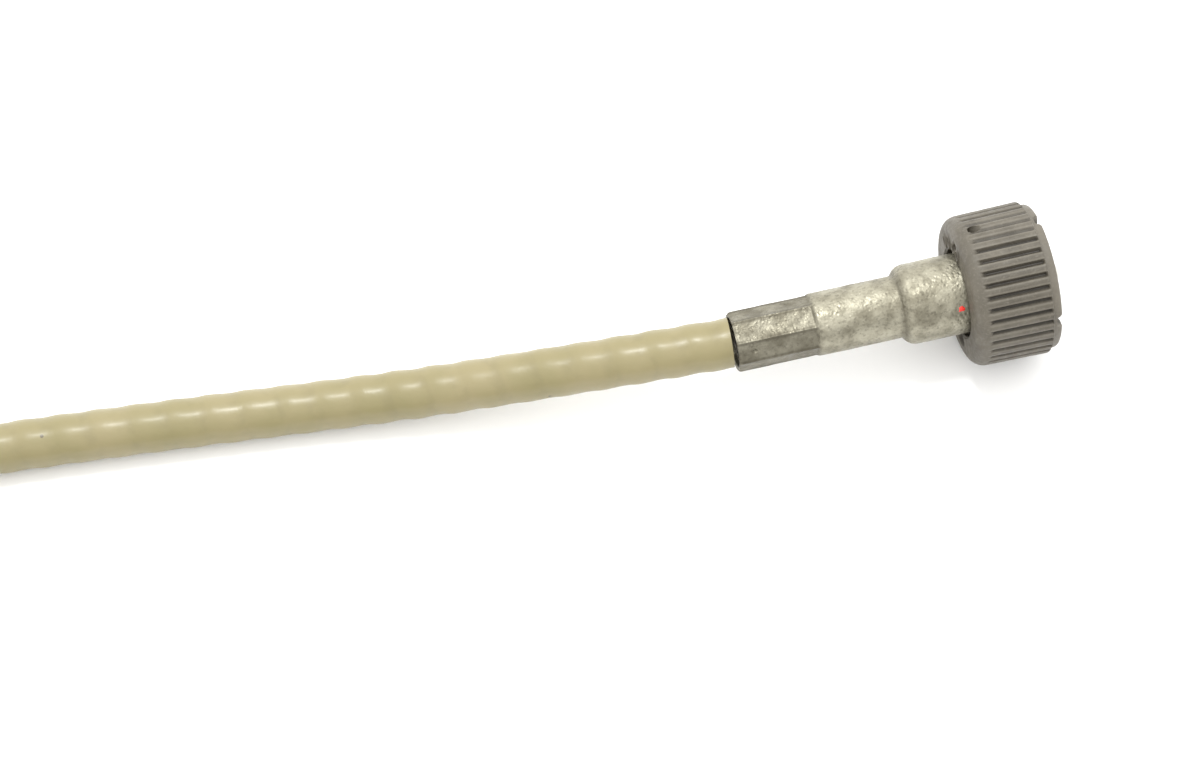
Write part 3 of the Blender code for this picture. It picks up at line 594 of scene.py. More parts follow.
@dataclass(frozen=True)
class MouldedPlastic:
    """Moulded plastic: fine grain, painted shade in its hollows, with dirt too round the nut's
    raised marks, and paler worn edges.
    """

    name: str
    body: Colour
    cloud: Colour
    # Colour of the painted shade in the hollows.
    hollow: Colour
    edge: Colour
    gloss: tuple[float, float] = (0.48, 0.66)

    def material(self) -> bpy.types.Material:
        """Build the node material.

        Returns:
            The material.
        """
        sketch = Sketch(self.name)
        cloudy = sketch.ranged(sketch.noise(240.0, 4.0), 0.36, 0.66)
        colour = sketch.blend(cloudy, self.body, self.cloud)
        fine = sketch.ranged(sketch.noise(2400.0, 3.0), 0.52, 0.75, 0.0, 0.35)
        colour = sketch.blend(fine, colour, self.edge)
        # Painted shade: the hollow mark darkens the nut's grooves, its inside and the pocket on its
        # back face; round the raised marks it holds shade and dirt.
        hollow_shade = sketch.ranged(sketch.mark("hollow"), 0.0, 1.0, 0.0, 0.9)
        colour = sketch.blend(hollow_shade, colour, self.hollow)
        worn = sketch.ranged(sketch.mark("worn"), 0.0, 1.0, 0.0, 0.75)
        colour = sketch.blend(worn, colour, self.edge)
        roughness = sketch.ranged(sketch.noise(900.0, 3.0), 0.35, 0.65, *self.gloss)
        sketch.bump([
            (sketch.noise(3200.0, 2.0), 0.04 * MM),
            (sketch.noise(700.0, 2.0), 0.05 * MM),
        ])
        return sketch.finish(colour, roughness)


@dataclass(frozen=True)
class TurnedMetal:
    """Clean metal with fine turning lines across the fitting's axis."""

    name: str
    colour: Colour
    shade: Colour
    rough: tuple[float, float] = (0.22, 0.42)
    lines: float = 5200.0

    def material(self) -> bpy.types.Material:
        """Build the node material.

        Returns:
            The material.
        """
        sketch = Sketch(self.name)
        streak = sketch.noise(1.0, 2.0, sketch.stretched((self.lines, 60.0, 60.0)))
        cloud = sketch.ranged(sketch.noise(500.0, 3.0), 0.35, 0.65)
        colour = sketch.blend(cloud, self.colour, self.shade)
        sketch.set(Metallic=1.0)
        sketch.bump([(streak, 0.02 * MM)])
        roughness = sketch.ranged(streak, 0.3, 0.7, *self.rough)
        return sketch.finish(colour, roughness)


@dataclass(frozen=True)
class SoftRubber:
    """Black moulded rubber with a dusty bloom."""

    def material(self) -> bpy.types.Material:
        """Build the node material.

        Returns:
            The material.
        """
        sketch = Sketch("black_rubber")
        dust = sketch.ranged(sketch.noise(800.0, 4.0), 0.45, 0.75)
        colour = sketch.blend(dust, (0.020, 0.020, 0.021), (0.060, 0.058, 0.054))
        sketch.bump([(sketch.noise(2500.0, 2.0), 0.03 * MM)])
        return sketch.finish(colour, sketch.ranged(dust, 0.0, 1.0, 0.48, 0.75))


@dataclass(frozen=True)
class PaperGround:
    """Plain pale ground with hardly any grain."""

    def material(self) -> bpy.types.Material:
        """Build the node material.

        Returns:
            The material.
        """
        sketch = Sketch("pale_ground")
        cloud = sketch.noise(9.0, 2.0)
        colour = sketch.blend(cloud, (0.86, 0.86, 0.86), (0.89, 0.89, 0.89))
        sketch.set(Roughness=0.9)
        return sketch.finish(colour)


@dataclass(frozen=True)
class PaintDab:
    """Bright red touch of paint, thick and glossy."""

    def material(self) -> bpy.types.Material:
        """Build the node material.

        Returns:
            The material.
        """
        sketch = Sketch("red_paint_dab")
        thick = sketch.ranged(sketch.noise(2500.0, 2.0), 0.35, 0.65)
        colour = sketch.blend(thick, (0.80, 0.045, 0.030), (0.62, 0.020, 0.015))
        sketch.bump([(thick, 0.02 * MM)])
        return sketch.finish(colour, sketch.ranged(thick, 0.0, 1.0, 0.28, 0.45))


@dataclass
class Finishes:
    """All finishes of the object, each made once."""

    vinyl: bpy.types.Material = field(default_factory=lambda: CasingVinyl().material())
    zinc: bpy.types.Material = field(default_factory=lambda: ZincSteel().material())
    nut: bpy.types.Material = field(
        default_factory=lambda: MouldedPlastic(
            "grey_brown_plastic", (0.098, 0.086, 0.065), (0.066, 0.057, 0.042),
            (0.022, 0.018, 0.013), (0.180, 0.162, 0.130),
        ).material()
    )
    tie: bpy.types.Material = field(
        default_factory=lambda: MouldedPlastic(
            "black_nylon", (0.022, 0.022, 0.023), (0.030, 0.030, 0.031),
            (0.012, 0.012, 0.012), (0.070, 0.070, 0.072), (0.32, 0.5),
        ).material()
    )
    nylon: bpy.types.Material = field(
        default_factory=lambda: MouldedPlastic(
            "natural_nylon", (0.70, 0.67, 0.58), (0.64, 0.61, 0.52),
            (0.40, 0.37, 0.30), (0.78, 0.76, 0.70), (0.35, 0.5),
        ).material()
    )
    steel: bpy.types.Material = field(
        default_factory=lambda: TurnedMetal(
            "bright_steel", (0.60, 0.58, 0.54), (0.42, 0.40, 0.36)
        ).material()
    )
    wire: bpy.types.Material = field(
        default_factory=lambda: TurnedMetal(
            "wound_wire", (0.40, 0.38, 0.34), (0.24, 0.22, 0.19), (0.3, 0.5), 1800.0
        ).material()
    )
    brass: bpy.types.Material = field(
        default_factory=lambda: TurnedMetal(
            "stamped_brass", (0.68, 0.50, 0.22), (0.50, 0.35, 0.14)
        ).material()
    )
    bronze: bpy.types.Material = field(
        default_factory=lambda: TurnedMetal(
            "sintered_bronze", (0.44, 0.28, 0.15), (0.30, 0.19, 0.10), (0.4, 0.6), 900.0
        ).material()
    )
    rubber: bpy.types.Material = field(default_factory=lambda: SoftRubber().material())
    paint: bpy.types.Material = field(default_factory=lambda: PaintDab().material())


def dress(piece: bpy.types.Object, finish: bpy.types.Material) -> None:
    """Give a piece one finish all over."""
    piece.data.materials.clear()
    piece.data.materials.append(finish)


def fit_out(
    piece: bpy.types.Object, finish: bpy.types.Material, body: str, slot: str, *nodes: str
) -> None:
    """Dress a piece, put it on its body and report it.

    Args:
        piece: The piece.
        finish: Its finish.
        body: Body that it moves with.
        slot: Name of its surface; not used.
        nodes: Plain nodes that it stands for, if any.
    """
    dress(piece, finish)
    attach(piece, body)
    if nodes:
        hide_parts(*nodes)
    LOG.info("made %s", piece.name)


# ---------------------------------------------------------------- cable


@dataclass
class Casing:
    """The sheathed cable from the near sleeve through its coil to the far sleeve."""

    diameter: float = 7.8 * MM
    rib_pitch: float = 5.8 * MM
    rib_height: float = 0.22 * MM
    rib_rise: float = 0.62
    rib_middle: float = 0.62
    outer_turn: float = 45.05
    turn_step: float = 8.0
    lying_height: float = 5.4
    first_angle: float = 90.0
    coil_sweep: float = 560.0
    easing_passes: int = 30
    columns: int = 44
    spacing: float = 0.50 * MM
    run_route: Route = (
        (-26.3, 0.0, 12.0),
        (-32.0, 0.4, 11.8),
        (-43.0, 1.5, 10.6),
        (-58.5, 3.6, 8.0),
        (-74.0, 5.8, 5.4),
        (-89.5, 7.8, 4.1),
        (-105.0, 9.4, 3.95),
        (-121.0, 10.9, 3.95),
        (-135.0, 12.1, 3.95),
        (-150.0, 13.2, 4.1),
        (-164.0, 14.1, 4.7),
        (-175.5, 14.5, 5.2),
    )
    climb_route: Route = (
        (303.0, 32.4, 5.6),
        (320.0, 32.5, 8.2),
        (337.0, 33.2, 10.4),
        (354.0, 33.9, 11.7),
    )
    tail_route: Route = (
        (-171.0, -23.1, 13.55),
        (-174.4, -13.7, 15.2),
        (-181.0, -5.0, 17.3),
        (-192.9, 2.0, 18.75),
        (-200.6, 3.0, 19.35),
        (-204.7, 3.2, 19.4),
    )

    def round_centre(self, degrees: Array, radius: Array, height: Array) -> Array:
        """Find points round the coil's centre, in millimetres.

        Args:
            degrees: Angles from +X towards +Y.
            radius: Distances from the centre.
            height: Heights above the ground.

        Returns:
            The points.
        """
        angle = np.radians(degrees)
        x = COIL_CENTRE[0] + radius * np.cos(angle)
        y = COIL_CENTRE[1] + radius * np.sin(angle)
        return np.stack([x, y, np.broadcast_to(height, x.shape)], -1)

    def coil(self) -> Array:
        """Flat spiral whose radius is the outer turn's less one step a turn.

        Returns:
            Points of the spiral, in millimetres.
        """
        turned = np.arange(0.0, self.coil_sweep + 1.0, 15.0)[1:]
        radius = self.outer_turn - self.turn_step * turned / 360.0
        return self.round_centre(self.first_angle + turned, radius, self.lying_height)

    def centre_line(self) -> tuple[Array, Array]:
        """Join the run, the coil, the climb and the tail in one smooth line.

        Returns:
            Points at an even step, in metres, and their distances along the line.
        """
        first = np.array([self.first_angle])
        start = self.round_centre(first, np.array([self.outer_turn]), self.lying_height)
        climb = np.array(self.climb_route)
        risen = self.round_centre(climb[:, 0], climb[:, 1], climb[:, 2])
        route = np.vstack([self.run_route, start, self.coil(), risen, self.tail_route])
        fine = softened(catmull_rom(route, 1.5), self.easing_passes)
        return evenly(fine * MM, self.spacing)

    def build(self, finishes: Finishes) -> bpy.types.Object:
        """Carry a round section along the line.

        The radius swells once each rib pitch, turning with the section so that the
        rib is a helix: radius = r + h * bump(distance / pitch - angle / turn), where
        bump rises slowly and falls faster.

        Args:
            finishes: The object's finishes.

        Returns:
            The cable.
        """
        line, along = self.centre_line()
        tangent = np.gradient(line, axis=0)
        tangent /= np.linalg.norm(tangent, axis=1, keepdims=True)
        side = np.cross([0.0, 0.0, 1.0], tangent)
        side /= np.linalg.norm(side, axis=1, keepdims=True)
        over = np.cross(tangent, side)
        angle = round_turn(self.columns)
        phase = along[:, None] / self.rib_pitch - angle[None, :] / TURN
        share = phase % 1.0
        rising = share / (2.0 * self.rib_rise)
        falling = 0.5 + (share - self.rib_rise) / (2.0 * (1.0 - self.rib_rise))
        swell = 0.5 - 0.5 * np.cos(TURN * np.where(share < self.rib_rise, rising, falling))
        uneven = 0.75 + 0.25 * np.sin(along * 140.0 + 0.7) * np.sin(along * 37.0)
        radius = self.diameter / 2 + self.rib_height * (swell - self.rib_middle) * uneven[:, None]
        ring = np.cos(angle)[:, None] * side[:, None] + np.sin(angle)[:, None] * over[:, None]
        grid = line[:, None, :] + radius[..., None] * ring
        cable = swept_piece("casing", grid, Closing.CAPS, valley=1.0 - swell)
        mark_sharp(cable, 50.0)
        nodes = ("cable_run", "cable_coil", "cable_tail")
        fit_out(cable, finishes.vinyl, "casing", "casing_plastic", *nodes)
        return cable


@dataclass
class CoilTie:
    """Flat ribbed strap round the coil's turns, with its locking head."""

    node: str
    angle: float
    inner: float
    outer: float
    low: float = 1.2 * MM
    high: float = 9.6 * MM
    wall: float = 1.15 * MM
    width: float = 3.6 * MM
    corner: float = 3.1 * MM
    edge: float = 0.18 * MM
    tooth: float = 0.10 * MM
    head: Point = (5.6 * MM, 5.2 * MM, 3.5 * MM)
    head_lift: float = 0.35 * MM
    head_levels: tuple[float, ...] = (0.0, 0.0, 0.05, 0.12, 0.88, 0.95, 1.0, 1.0, 0.90, 0.90)
    head_widths: tuple[float, ...] = (0.60, 0.92, 0.98, 1.0, 1.0, 0.98, 0.92, 0.50, 0.46, 0.10)

    def place(self, local: Array) -> Array:
        """Turn points to the tie's place on the coil.

        Args:
            local: Points of (outward, sideways, height).

        Returns:
            The points in their real places.
        """
        angle = math.radians(self.angle)
        outward, sideways = local[..., 0], local[..., 1]
        x = COIL_CENTRE[0] * MM + outward * math.cos(angle) - sideways * math.sin(angle)
        y = COIL_CENTRE[1] * MM + outward * math.sin(angle) + sideways * math.cos(angle)
        return np.stack([x, y, local[..., 2]], -1)

    def strap(self) -> bpy.types.Object:
        """Closed strap: a rounded rectangle carried round the turns, its section a flat bar.

        The loop's points are box corners with quarter circles; the section has a
        small chamfer, and fine teeth are cut on the outside by a wave along the loop.

        Returns:
            The strap.
        """
        middle = np.array([(self.inner + self.outer) / 2, (self.low + self.high) / 2])
        size = np.array([self.outer - self.inner, self.high - self.low])
        half = size / 2 - self.corner
        turn = np.linspace(0.0, TURN, 240, endpoint=False)
        direction = np.stack([np.cos(turn), np.sin(turn)], -1)
        flatten = np.sign(direction) * np.minimum(1.0, np.abs(direction) * 60.0)
        base = middle + flatten * half + direction * self.corner
        line, _ = evenly(np.pad(np.vstack([base, base[:1]]), ((0, 0), (0, 1))), 0.22 * MM)
        base = line[:-1, :2]
        step = np.roll(base, -1, 0) - np.roll(base, 1, 0)
        normal = np.stack([step[:, 1], -step[:, 0]], -1)
        normal /= np.linalg.norm(normal, axis=1, keepdims=True)
        side = self.width / 2
        chamfered = self.wall - self.edge
        section = np.array([
            (0.0, -side), (chamfered, -side), (self.wall, -side + self.edge),
            (self.wall, -side / 2), (self.wall, side / 2), (self.wall, side - self.edge),
            (chamfered, side), (0.0, side),
        ])
        teeth = self.tooth * (np.arange(len(base)) % 4 < 2)
        toothed = np.array([0, 0, 0, 1, 1, 0, 0, 0])
        rise = section[None, :, 0] - teeth[:, None] * toothed[None, :]
        outward = base[:, None, 0] + normal[:, None, 0] * rise
        height = base[:, None, 1] + normal[:, None, 1] * rise
        sideways = np.broadcast_to(section[None, :, 1], outward.shape)
        grid = self.place(np.stack([outward, sideways, height], -1))
        piece = swept_piece(self.node + "_strap", grid, Closing.LOOP)
        mark_sharp(piece, 30.0)
        return piece

    def lock(self) -> bpy.types.Object:
        """Locking head: a block whose sides follow a rounded square, drawn in at top and bottom.

        Returns:
            The head.
        """
        square_x, square_y = rounded_square(round_turn(64), 0.22)
        levels = np.array(self.head_levels)[:, None]
        widths = np.array(self.head_widths)[:, None]
        x = (self.inner + self.outer) / 2 + self.head[0] / 2 * widths * square_x
        y = self.head[1] / 2 * widths * square_y
        z = np.broadcast_to(self.high + self.head_lift + self.head[2] * levels, x.shape)
        grid = self.place(np.stack([x, y, z], -1))
        piece = swept_piece(self.node + "_head", grid, Closing.CAPS)
        mark_sharp(piece, 30.0)
        return piece

    def build(self, finishes: Finishes) -> list[bpy.types.Object]:
        """Make the strap and its head and put them on the casing's body.

        Args:
            finishes: The object's finishes.

        Returns:
            Both pieces.
        """
        strap = self.strap()
        lock = self.lock()
        fit_out(strap, finishes.tie, "casing", "tie_nylon", self.node)
        fit_out(lock, finishes.tie, "casing", "tie_nylon")
        return [strap, lock]


# ---------------------------------------------------------------- near fitting


@dataclass(frozen=True)
class Crimp:
    """Eight flats pressed into a sleeve from its mouth on."""

    length: float
    ramp: float
    flats: int = 8
    corner_radius: float = 4.68 * MM
    corner_angle: float = 29.5

    def from_middle(self, degrees: Array) -> Array:
        """Angles in degrees from the middle of the nearest flat."""
        return wrapped((degrees - self.corner_angle) * self.flats - 180.0) / self.flats

    def flat(self, degrees: Array) -> Array:
        """Radius of a flat: the corner radius times cos(22.5) over cos(angle from its middle)."""
        to_middle = self.corner_radius * math.cos(math.pi / self.flats)
        return to_middle / np.cos(np.radians(self.from_middle(degrees)))

    def run_out(self, along: Array) -> Array:
        """Share of the plain tube at a place: 0 in the crimp and 1 past its ramp."""
        return smooth_step(self.length, self.length + self.ramp, along)


@dataclass
class EndSleeve:
    """Pressed steel sleeve with eight crimp flats, a rounded shoulder, a collar and a spigot."""

    fitting: Fitting
    crimp: Crimp = Crimp(12.4 * MM, 0.55 * MM)
    hollow: float = 0.06 * MM
    ridge: float = 0.03 * MM
    lip_draw: float = 0.12 * MM
    mark_place: float = 2.6 * MM
    mark_angle: float = 142.0
    mark_radius: float = 0.42 * MM
    mark_depth: float = 0.24 * MM
    mark_rim: float = 0.05 * MM
    ripple: float = 0.012 * MM
    throat: float = 26.2 * MM
    columns: int = 256
    outer: Profile = (
        (0.00, 4.40), (0.08, 4.62), (0.22, 4.76), (0.45, 4.90), (26.0, 4.90),
    )
    shoulder: Profile = (
        (26.15, 4.98), (26.4, 5.30), (26.8, 5.75), (27.3, 6.08), (28.0, 6.27), (29.0, 6.28),
        (40.4, 6.28), (40.4, 7.50), (40.5, 7.70), (40.7, 7.80), (42.1, 7.80), (42.3, 7.70),
        (42.4, 7.50), (42.4, 5.02), (43.6, 5.00), (43.9, 4.88), (44.0, 4.70),
    )
    inner: Profile = (
        (44.0, 3.60), (29.0, 3.60), (29.0, 2.40), (17.4, 2.40), (17.4, 3.25),
        (13.4, 3.25), (13.4, 3.75), (0.6, 3.75), (0.15, 3.85), (0.0, 4.05), (0.0, 4.40),
    )

    def section(self) -> tuple[Array, int]:
        """Closed section from the mouth out and back through the bore.

        Returns:
            Its points of (place, radius) in metres, and how many are on the outside.
        """
        outside = divided_profile(self.outer + self.shoulder, 0.20)
        inside = divided_profile(self.inner, 1.2)
        return np.vstack([outside, inside[:-1]]) * MM, len(outside)

    def crimped(self, along: Array, radius: Array, degrees: Array) -> Array:
        """Press the flats: each radius becomes the smaller of its own and the flat's.

        The flats are a little hollow, their corners a little round, they run out
        into the tube over a short ramp, and the lip at the mouth is drawn in.

        Args:
            along: Places counted from the mouth.
            radius: Radii of the round tube.
            degrees: Angles.

        Returns:
            The pressed radii.
        """
        from_middle = self.crimp.from_middle(degrees)
        flat = self.crimp.flat(degrees) - self.hollow * np.cos(np.radians(from_middle * 4.0)) ** 2
        blunt = self.ridge * bell(22.5 - np.abs(from_middle), 2.4)
        pressed = np.minimum(radius, flat + blunt)
        share = self.crimp.run_out(along)
        lip = self.lip_draw * (1.0 - smooth_step(0.0, 0.5 * MM, along))
        return pressed * (1.0 - share) + radius * share - lip

    def punched(self, along: Array, degrees: Array) -> Array:
        """Rise of the punch mark: a round dent with a low rim.

        Args:
            along: Places counted from the mouth.
            degrees: Angles.

        Returns:
            The change of the radius, below 0 in the dent.
        """
        across = self.crimp.corner_radius * np.radians(wrapped(degrees - self.mark_angle))
        distance = np.hypot(along - self.mark_place, across)
        dent = 1.0 - smooth_step(0.55 * self.mark_radius, self.mark_radius, distance)
        rim = self.mark_rim * bell(distance - 1.25 * self.mark_radius, 0.2 * self.mark_radius)
        return rim - self.mark_depth * dent

    def dirt_and_shade(self, along: Array, degrees: Array) -> Array:
        """Dirt in the crimp, darker still near the flats' corners, and a band of painted shade
        under the shoulder.

        Args:
            along: Places counted from the mouth.
            degrees: Angles.

        Returns:
            Shares from 0, clean and unshaded, to 1.
        """
        crimp = smooth_step(self.crimp.length + 0.9 * MM, self.crimp.length, along)
        fold = bell(19.5 - np.abs(self.crimp.from_middle(degrees)), 2.6) * crimp
        # Painted shade: a dark band where the tube runs into the shoulder.
        throat = bell(along - self.throat, 0.5 * MM)
        return np.clip(0.50 * crimp + 0.36 * fold + 0.50 * throat, 0.0, 1.0)

    def build(self, finishes: Finishes) -> bpy.types.Object:
        """Turn the section, press the crimp, dent the punch mark and ripple the skin.

        The ripple is the sum of three sine waves of place and angle.

        Args:
            finishes: The object's finishes.

        Returns:
            The sleeve.
        """
        section, outside = self.section()
        degrees = np.arange(self.columns)[None, :] * 360.0 / self.columns
        along = np.broadcast_to(section[:, :1], (len(section), self.columns))
        radius = np.broadcast_to(section[:, 1:], along.shape).copy()
        angle = np.broadcast_to(degrees, along.shape)
        skin = slice(1, outside)
        radius[skin] = np.where(
            along[skin] < self.crimp.length + self.crimp.ramp + MM,
            self.crimped(along[skin], radius[skin], angle[skin]),
            radius[skin],
        )
        radius[skin] += self.punched(along, angle)[skin]
        turn = np.radians(angle)
        wave = np.sin(along * 950.0 + 3.0 * turn) + np.sin(along * 410.0 - 2.0 * turn + 1.3)
        wave += np.sin(along * 1900.0 + 5.0 * turn + 0.4) * 0.6
        free = (along > 0.8 * MM) & (along < 40.0 * MM)
        radius[skin] += (self.ripple * wave * free)[skin]
        grid = self.fitting.place(along, radius, angle)
        # The grime mark carries the crimp's dirt and the painted shade under the shoulder.
        piece = swept_piece("sleeve_skin", grid, Closing.LOOP, grime=self.dirt_and_shade(along, angle))
        mark_sharp(piece, 38.0)
        fit_out(piece, finishes.zinc, "casing", "zinc_sleeve", "end_sleeve")
        return piece


@dataclass
class UnionNut:
    """Ribbed union nut with a notched rim, an inside thread and a slanting hole for a seal wire."""

    fitting: Fitting
    back: float = 35.9
    front: float = 49.3
    radius: float = 12.0
    draft: float = 0.18
    ribs: int = 38
    groove_depth: float = 0.62
    band_radius: float = 11.35
    band_back: float = 47.85
    face_radius: float = 9.8
    corner_length: float = 2.2
    rim_round: float = 0.5
    bore_radius: float = 6.98
    wall_inside: float = 38.9
    relief_radius: float = 9.1
    thread_minor: float = 8.19
    thread_major: float = 9.0
    thread_pitch: float = 1.5
    thread_start: float = 41.6
    thread_end: float = 47.9
    notch_angle: float = 65.7
    notch_depth: float = 0.95
    notch_mouth: float = 2.5
    notch_floor: float = 1.3
    hole_angle: float = 63.0
    hole_place: float = 38.8
    hole_diameter: float = 1.5
    hole_slope: float = 1.05
    raised_marks: Profile = ((24.0, 0.62), (40.0, 0.62), (58.0, 0.30), (72.0, 0.62))
    raised_radius: float = 8.4
    raised_half_height: float = 0.95
    pocket_angle: float = 234.0
    pocket_radius: float = 8.1
    fractions: tuple[float, ...] = (
        0.0, 0.10, 0.20, 0.28, 0.33, 0.37, 0.41, 0.45,
        0.50, 0.55, 0.59, 0.63, 0.67, 0.72, 0.80, 0.90,
    )

    def angles(self) -> tuple[Array, Array]:
        """Choose the columns, closer together in the grooves.

        A rib's crest stands at share 0 and its groove at share 0.5, and one crest
        points straight down.

        Returns:
            The columns' angles and their shares of a rib's pitch.
        """
        share = np.tile(np.array(self.fractions), self.ribs)
        rib = np.repeat(np.arange(self.ribs), len(self.fractions))
        return -90.0 + (rib + share) * 360.0 / self.ribs, share

    def outside(self) -> Array:
        """Outer section from the bore's back edge over corner, ribs and band to the rim.

        Returns:
            Points of (place, radius).
        """
        edge = (self.back, self.bore_radius + 0.3)
        face = divided_profile([(self.back + 0.3, self.bore_radius), edge], 0.2)
        plate = divided_profile([edge, (self.back, self.face_radius)], 0.11)
        turn = np.linspace(0.0, math.pi / 2, 14)[1:]
        rise = self.radius - self.draft - self.face_radius
        bend_place = self.back + self.corner_length * (1 - np.cos(turn))
        bend = np.stack([bend_place, self.face_radius + rise * np.sin(turn)], -1)
        start = self.back + self.corner_length
        stops = np.concatenate([
            np.arange(start + 0.12, start + 1.2, 0.12),
            np.linspace(start + 1.3, self.band_back - 0.9, 9),
            np.arange(self.band_back - 0.75, self.band_back - 0.2, 0.11),
        ])
        share = (stops - start) / (self.band_back - start)
        side = np.stack([stops, self.radius - self.draft * (1 - share)], -1)
        step = np.array([
            (self.band_back - 0.15, self.radius - 0.02),
            (self.band_back - 0.06, self.radius - 0.12),
            (self.band_back, self.band_radius + 0.08),
            (self.band_back + 0.08, self.band_radius),
        ])
        rim_start = self.front - self.rim_round
        band_place = np.linspace(self.band_back + 0.25, rim_start, 6)
        band = np.stack([band_place, np.full(6, self.band_radius)], -1)
        turn = np.linspace(0.0, math.pi / 2, 7)[1:]
        rim_radius = self.band_radius - self.rim_round + self.rim_round * np.cos(turn)
        rim = np.stack([rim_start + self.rim_round * np.sin(turn), rim_radius], -1)
        return np.vstack([face[:-1], plate, bend, side, step, band, rim])

    def inside(self) -> Array:
        """Inner section from the rim down the thread and the undercut to the bore.

        Returns:
            Points of (place, radius).
        """
        mouth = np.array([
            (self.front, 10.3), (self.front, 9.75), (self.front - 0.12, 9.5),
            (self.front - 0.5, 9.2), (self.thread_end + 0.25, 9.05),
        ])
        turns = np.arange(self.thread_end, self.thread_start, -0.15)
        thread = np.stack([turns, np.full_like(turns, self.thread_major)], -1)
        wall = np.array([
            (self.thread_start - 0.2, self.relief_radius),
            (self.wall_inside + 0.3, self.relief_radius),
            (self.wall_inside, self.relief_radius - 0.25),
            (self.wall_inside, self.bore_radius + 0.1),
            (self.wall_inside - 0.1, self.bore_radius),
            (self.back + 1.6, self.bore_radius),
        ])
        return np.vstack([mouth, thread, wall])

    def thread(self, place: Array, angle: Array) -> Array:
        """Radius of the thread: a trapezoid wave of place over pitch that moves one pitch a turn.

        Args:
            place: Places along the nut.
            angle: Angles in degrees.

        Returns:
            The radii, the thread fading at both its ends.
        """
        phase = (place - self.thread_start) / self.thread_pitch - (angle + 90.0) / 360.0
        wave = np.abs((phase % 1.0) * 2.0 - 1.0)
        tooth = np.clip(wave * 1.25 - 0.125, 0.0, 1.0)
        fade = smooth_step(self.thread_start - 0.1, self.thread_start + 0.5, place)
        fade = fade * (1.0 - smooth_step(self.thread_end - 0.7, self.thread_end + 0.1, place))
        return self.thread_major + 0.05 - (self.thread_major - self.thread_minor) * fade * tooth

    def build(self, finishes: Finishes) -> bpy.types.Object:
        """Carry the section round the axis and shape it by angle.

        Groove: the radius drops by the groove depth where the share of the pitch nears
        a half, fading towards both rib ends.  Notch: the front is cut back over a
        sloping stretch.

        Args:
            finishes: The object's finishes.

        Returns:
            The nut.
        """
        outside = self.outside()
        section = np.vstack([outside, self.inside()])
        place = section[:, :1]
        degrees, share = self.angles()
        shape = (len(section), len(degrees))
        along = np.broadcast_to(place, shape)
        radius = np.broadcast_to(section[:, 1:], shape).copy()
        angle = np.broadcast_to(degrees[None, :], shape)
        outer = np.arange(len(section))[:, None] < len(outside)

        from_groove = np.abs(share - 0.5)[None, :]
        groove = 1.0 - smooth_step(0.050, 0.230, from_groove)
        from_crest = 1.0 - np.clip((from_groove - 0.165) / 0.335, 0.0, 1.0)
        crown = from_crest**2 * (from_groove > 0.1)
        rib_start = self.back + 1.45
        rounded_start = rib_start + 0.55 * smooth_step(0.30, 0.0, from_groove)
        begun = smooth_step(rounded_start - 0.20, rounded_start + 0.75, along)
        ended = 1.0 - smooth_step(self.band_back - 0.42, self.band_back - 0.12, along)
        near_hole = np.abs(wrapped(angle - self.hole_angle))
        faded = 0.30 + 0.70 * smooth_step(11.0, 17.0, near_hole)
        band_zone = along < self.band_back - 0.02
        drop = self.groove_depth * groove * begun * ended * faded
        drop = drop + 0.12 * crown * begun * ended
        radius -= np.where(outer & band_zone, drop, 0.0)

        across = wrapped(angle * 4.0 - self.notch_angle * 4.0) / 4.0
        width = np.abs(np.radians(across)) * 10.6
        cut = 1.0 - smooth_step(self.notch_floor / 2, self.notch_mouth / 2, width)
        along = np.minimum(along, self.front - self.notch_depth * cut)

        within = (place > self.thread_start - 0.05) & (place < self.thread_end + 0.05)
        radius = np.where(~outer & within, self.thread(place, angle), radius)

        relief, mark_shade_and_dirt = self.face_relief(section[:, 1:], angle)
        on_face = (place < self.back + 0.25) & (section[:, 1:] > self.bore_radius + 0.25)
        plate = outer & on_face
        along = along - np.where(plate, relief, 0.0)

        # Painted shade in the grooves between the ribs, weaker near the seal wire's hole.
        hollow_shade = groove * begun * ended * (0.35 + 0.65 * faded)
        hollow = np.where(outer & band_zone, hollow_shade, 0.0)
        # Painted shade: every point inside the nut gets 0.45 on the hollow mark; the back face adds
        # its marks' shade and dirt.
        hollow = hollow + np.where(plate, mark_shade_and_dirt, 0.0) + np.where(outer, 0.0, 0.45)
        crest = outer & band_zone & (place > rib_start)
        worn = np.where(crest, 0.7 * bell(from_groove - 0.27, 0.05) * begun, 0.0)
        worn = worn + np.where(outer & (place > self.band_back), 0.55, 0.0)
        turn = np.radians(angle)
        wobble = 0.008 * (np.sin(3.0 * turn + 0.6) + np.sin(place * 1.9 + 2.0 * turn))
        radius = radius + np.where(outer & (place > self.back + 0.5), wobble, 0.0)
        nut = swept_piece(
            "nut_shell", self.fitting.place(along * MM, radius * MM, angle), Closing.LOOP,
            hollow=np.clip(hollow, 0.0, 1.0), worn=np.clip(worn, 0.0, 1.0),
        )
        self.drill(nut)
        mark_sharp(nut, 42.0)
        fit_out(nut, finishes.nut, "nut", "nut_plastic", "union_nut")
        return nut

    def face_relief(self, radius: Array, angle: Array) -> tuple[Array, Array]:
        """Raised ovals and bars and one shallow pocket on the back face, with painted shade and
        dirt round them.

        Args:
            radius: Distances from the axis.
            angle: Angles in degrees.

        Returns:
            The rise of the face and how dark its hollows are painted: shade and dirt round and
            inside the raised marks, shade in the pocket.
        """
        rise = np.zeros(np.broadcast(radius, angle).shape)
        dirt_and_shade = np.zeros_like(rise)
        for middle, half_width in self.raised_marks:
            across = np.radians(wrapped(angle - middle)) * self.raised_radius
            up = (radius - self.raised_radius) / self.raised_half_height
            reach = np.hypot(up, across / half_width)
            ring = bell(reach - 1.0, 0.26)
            rise += 0.26 * ring
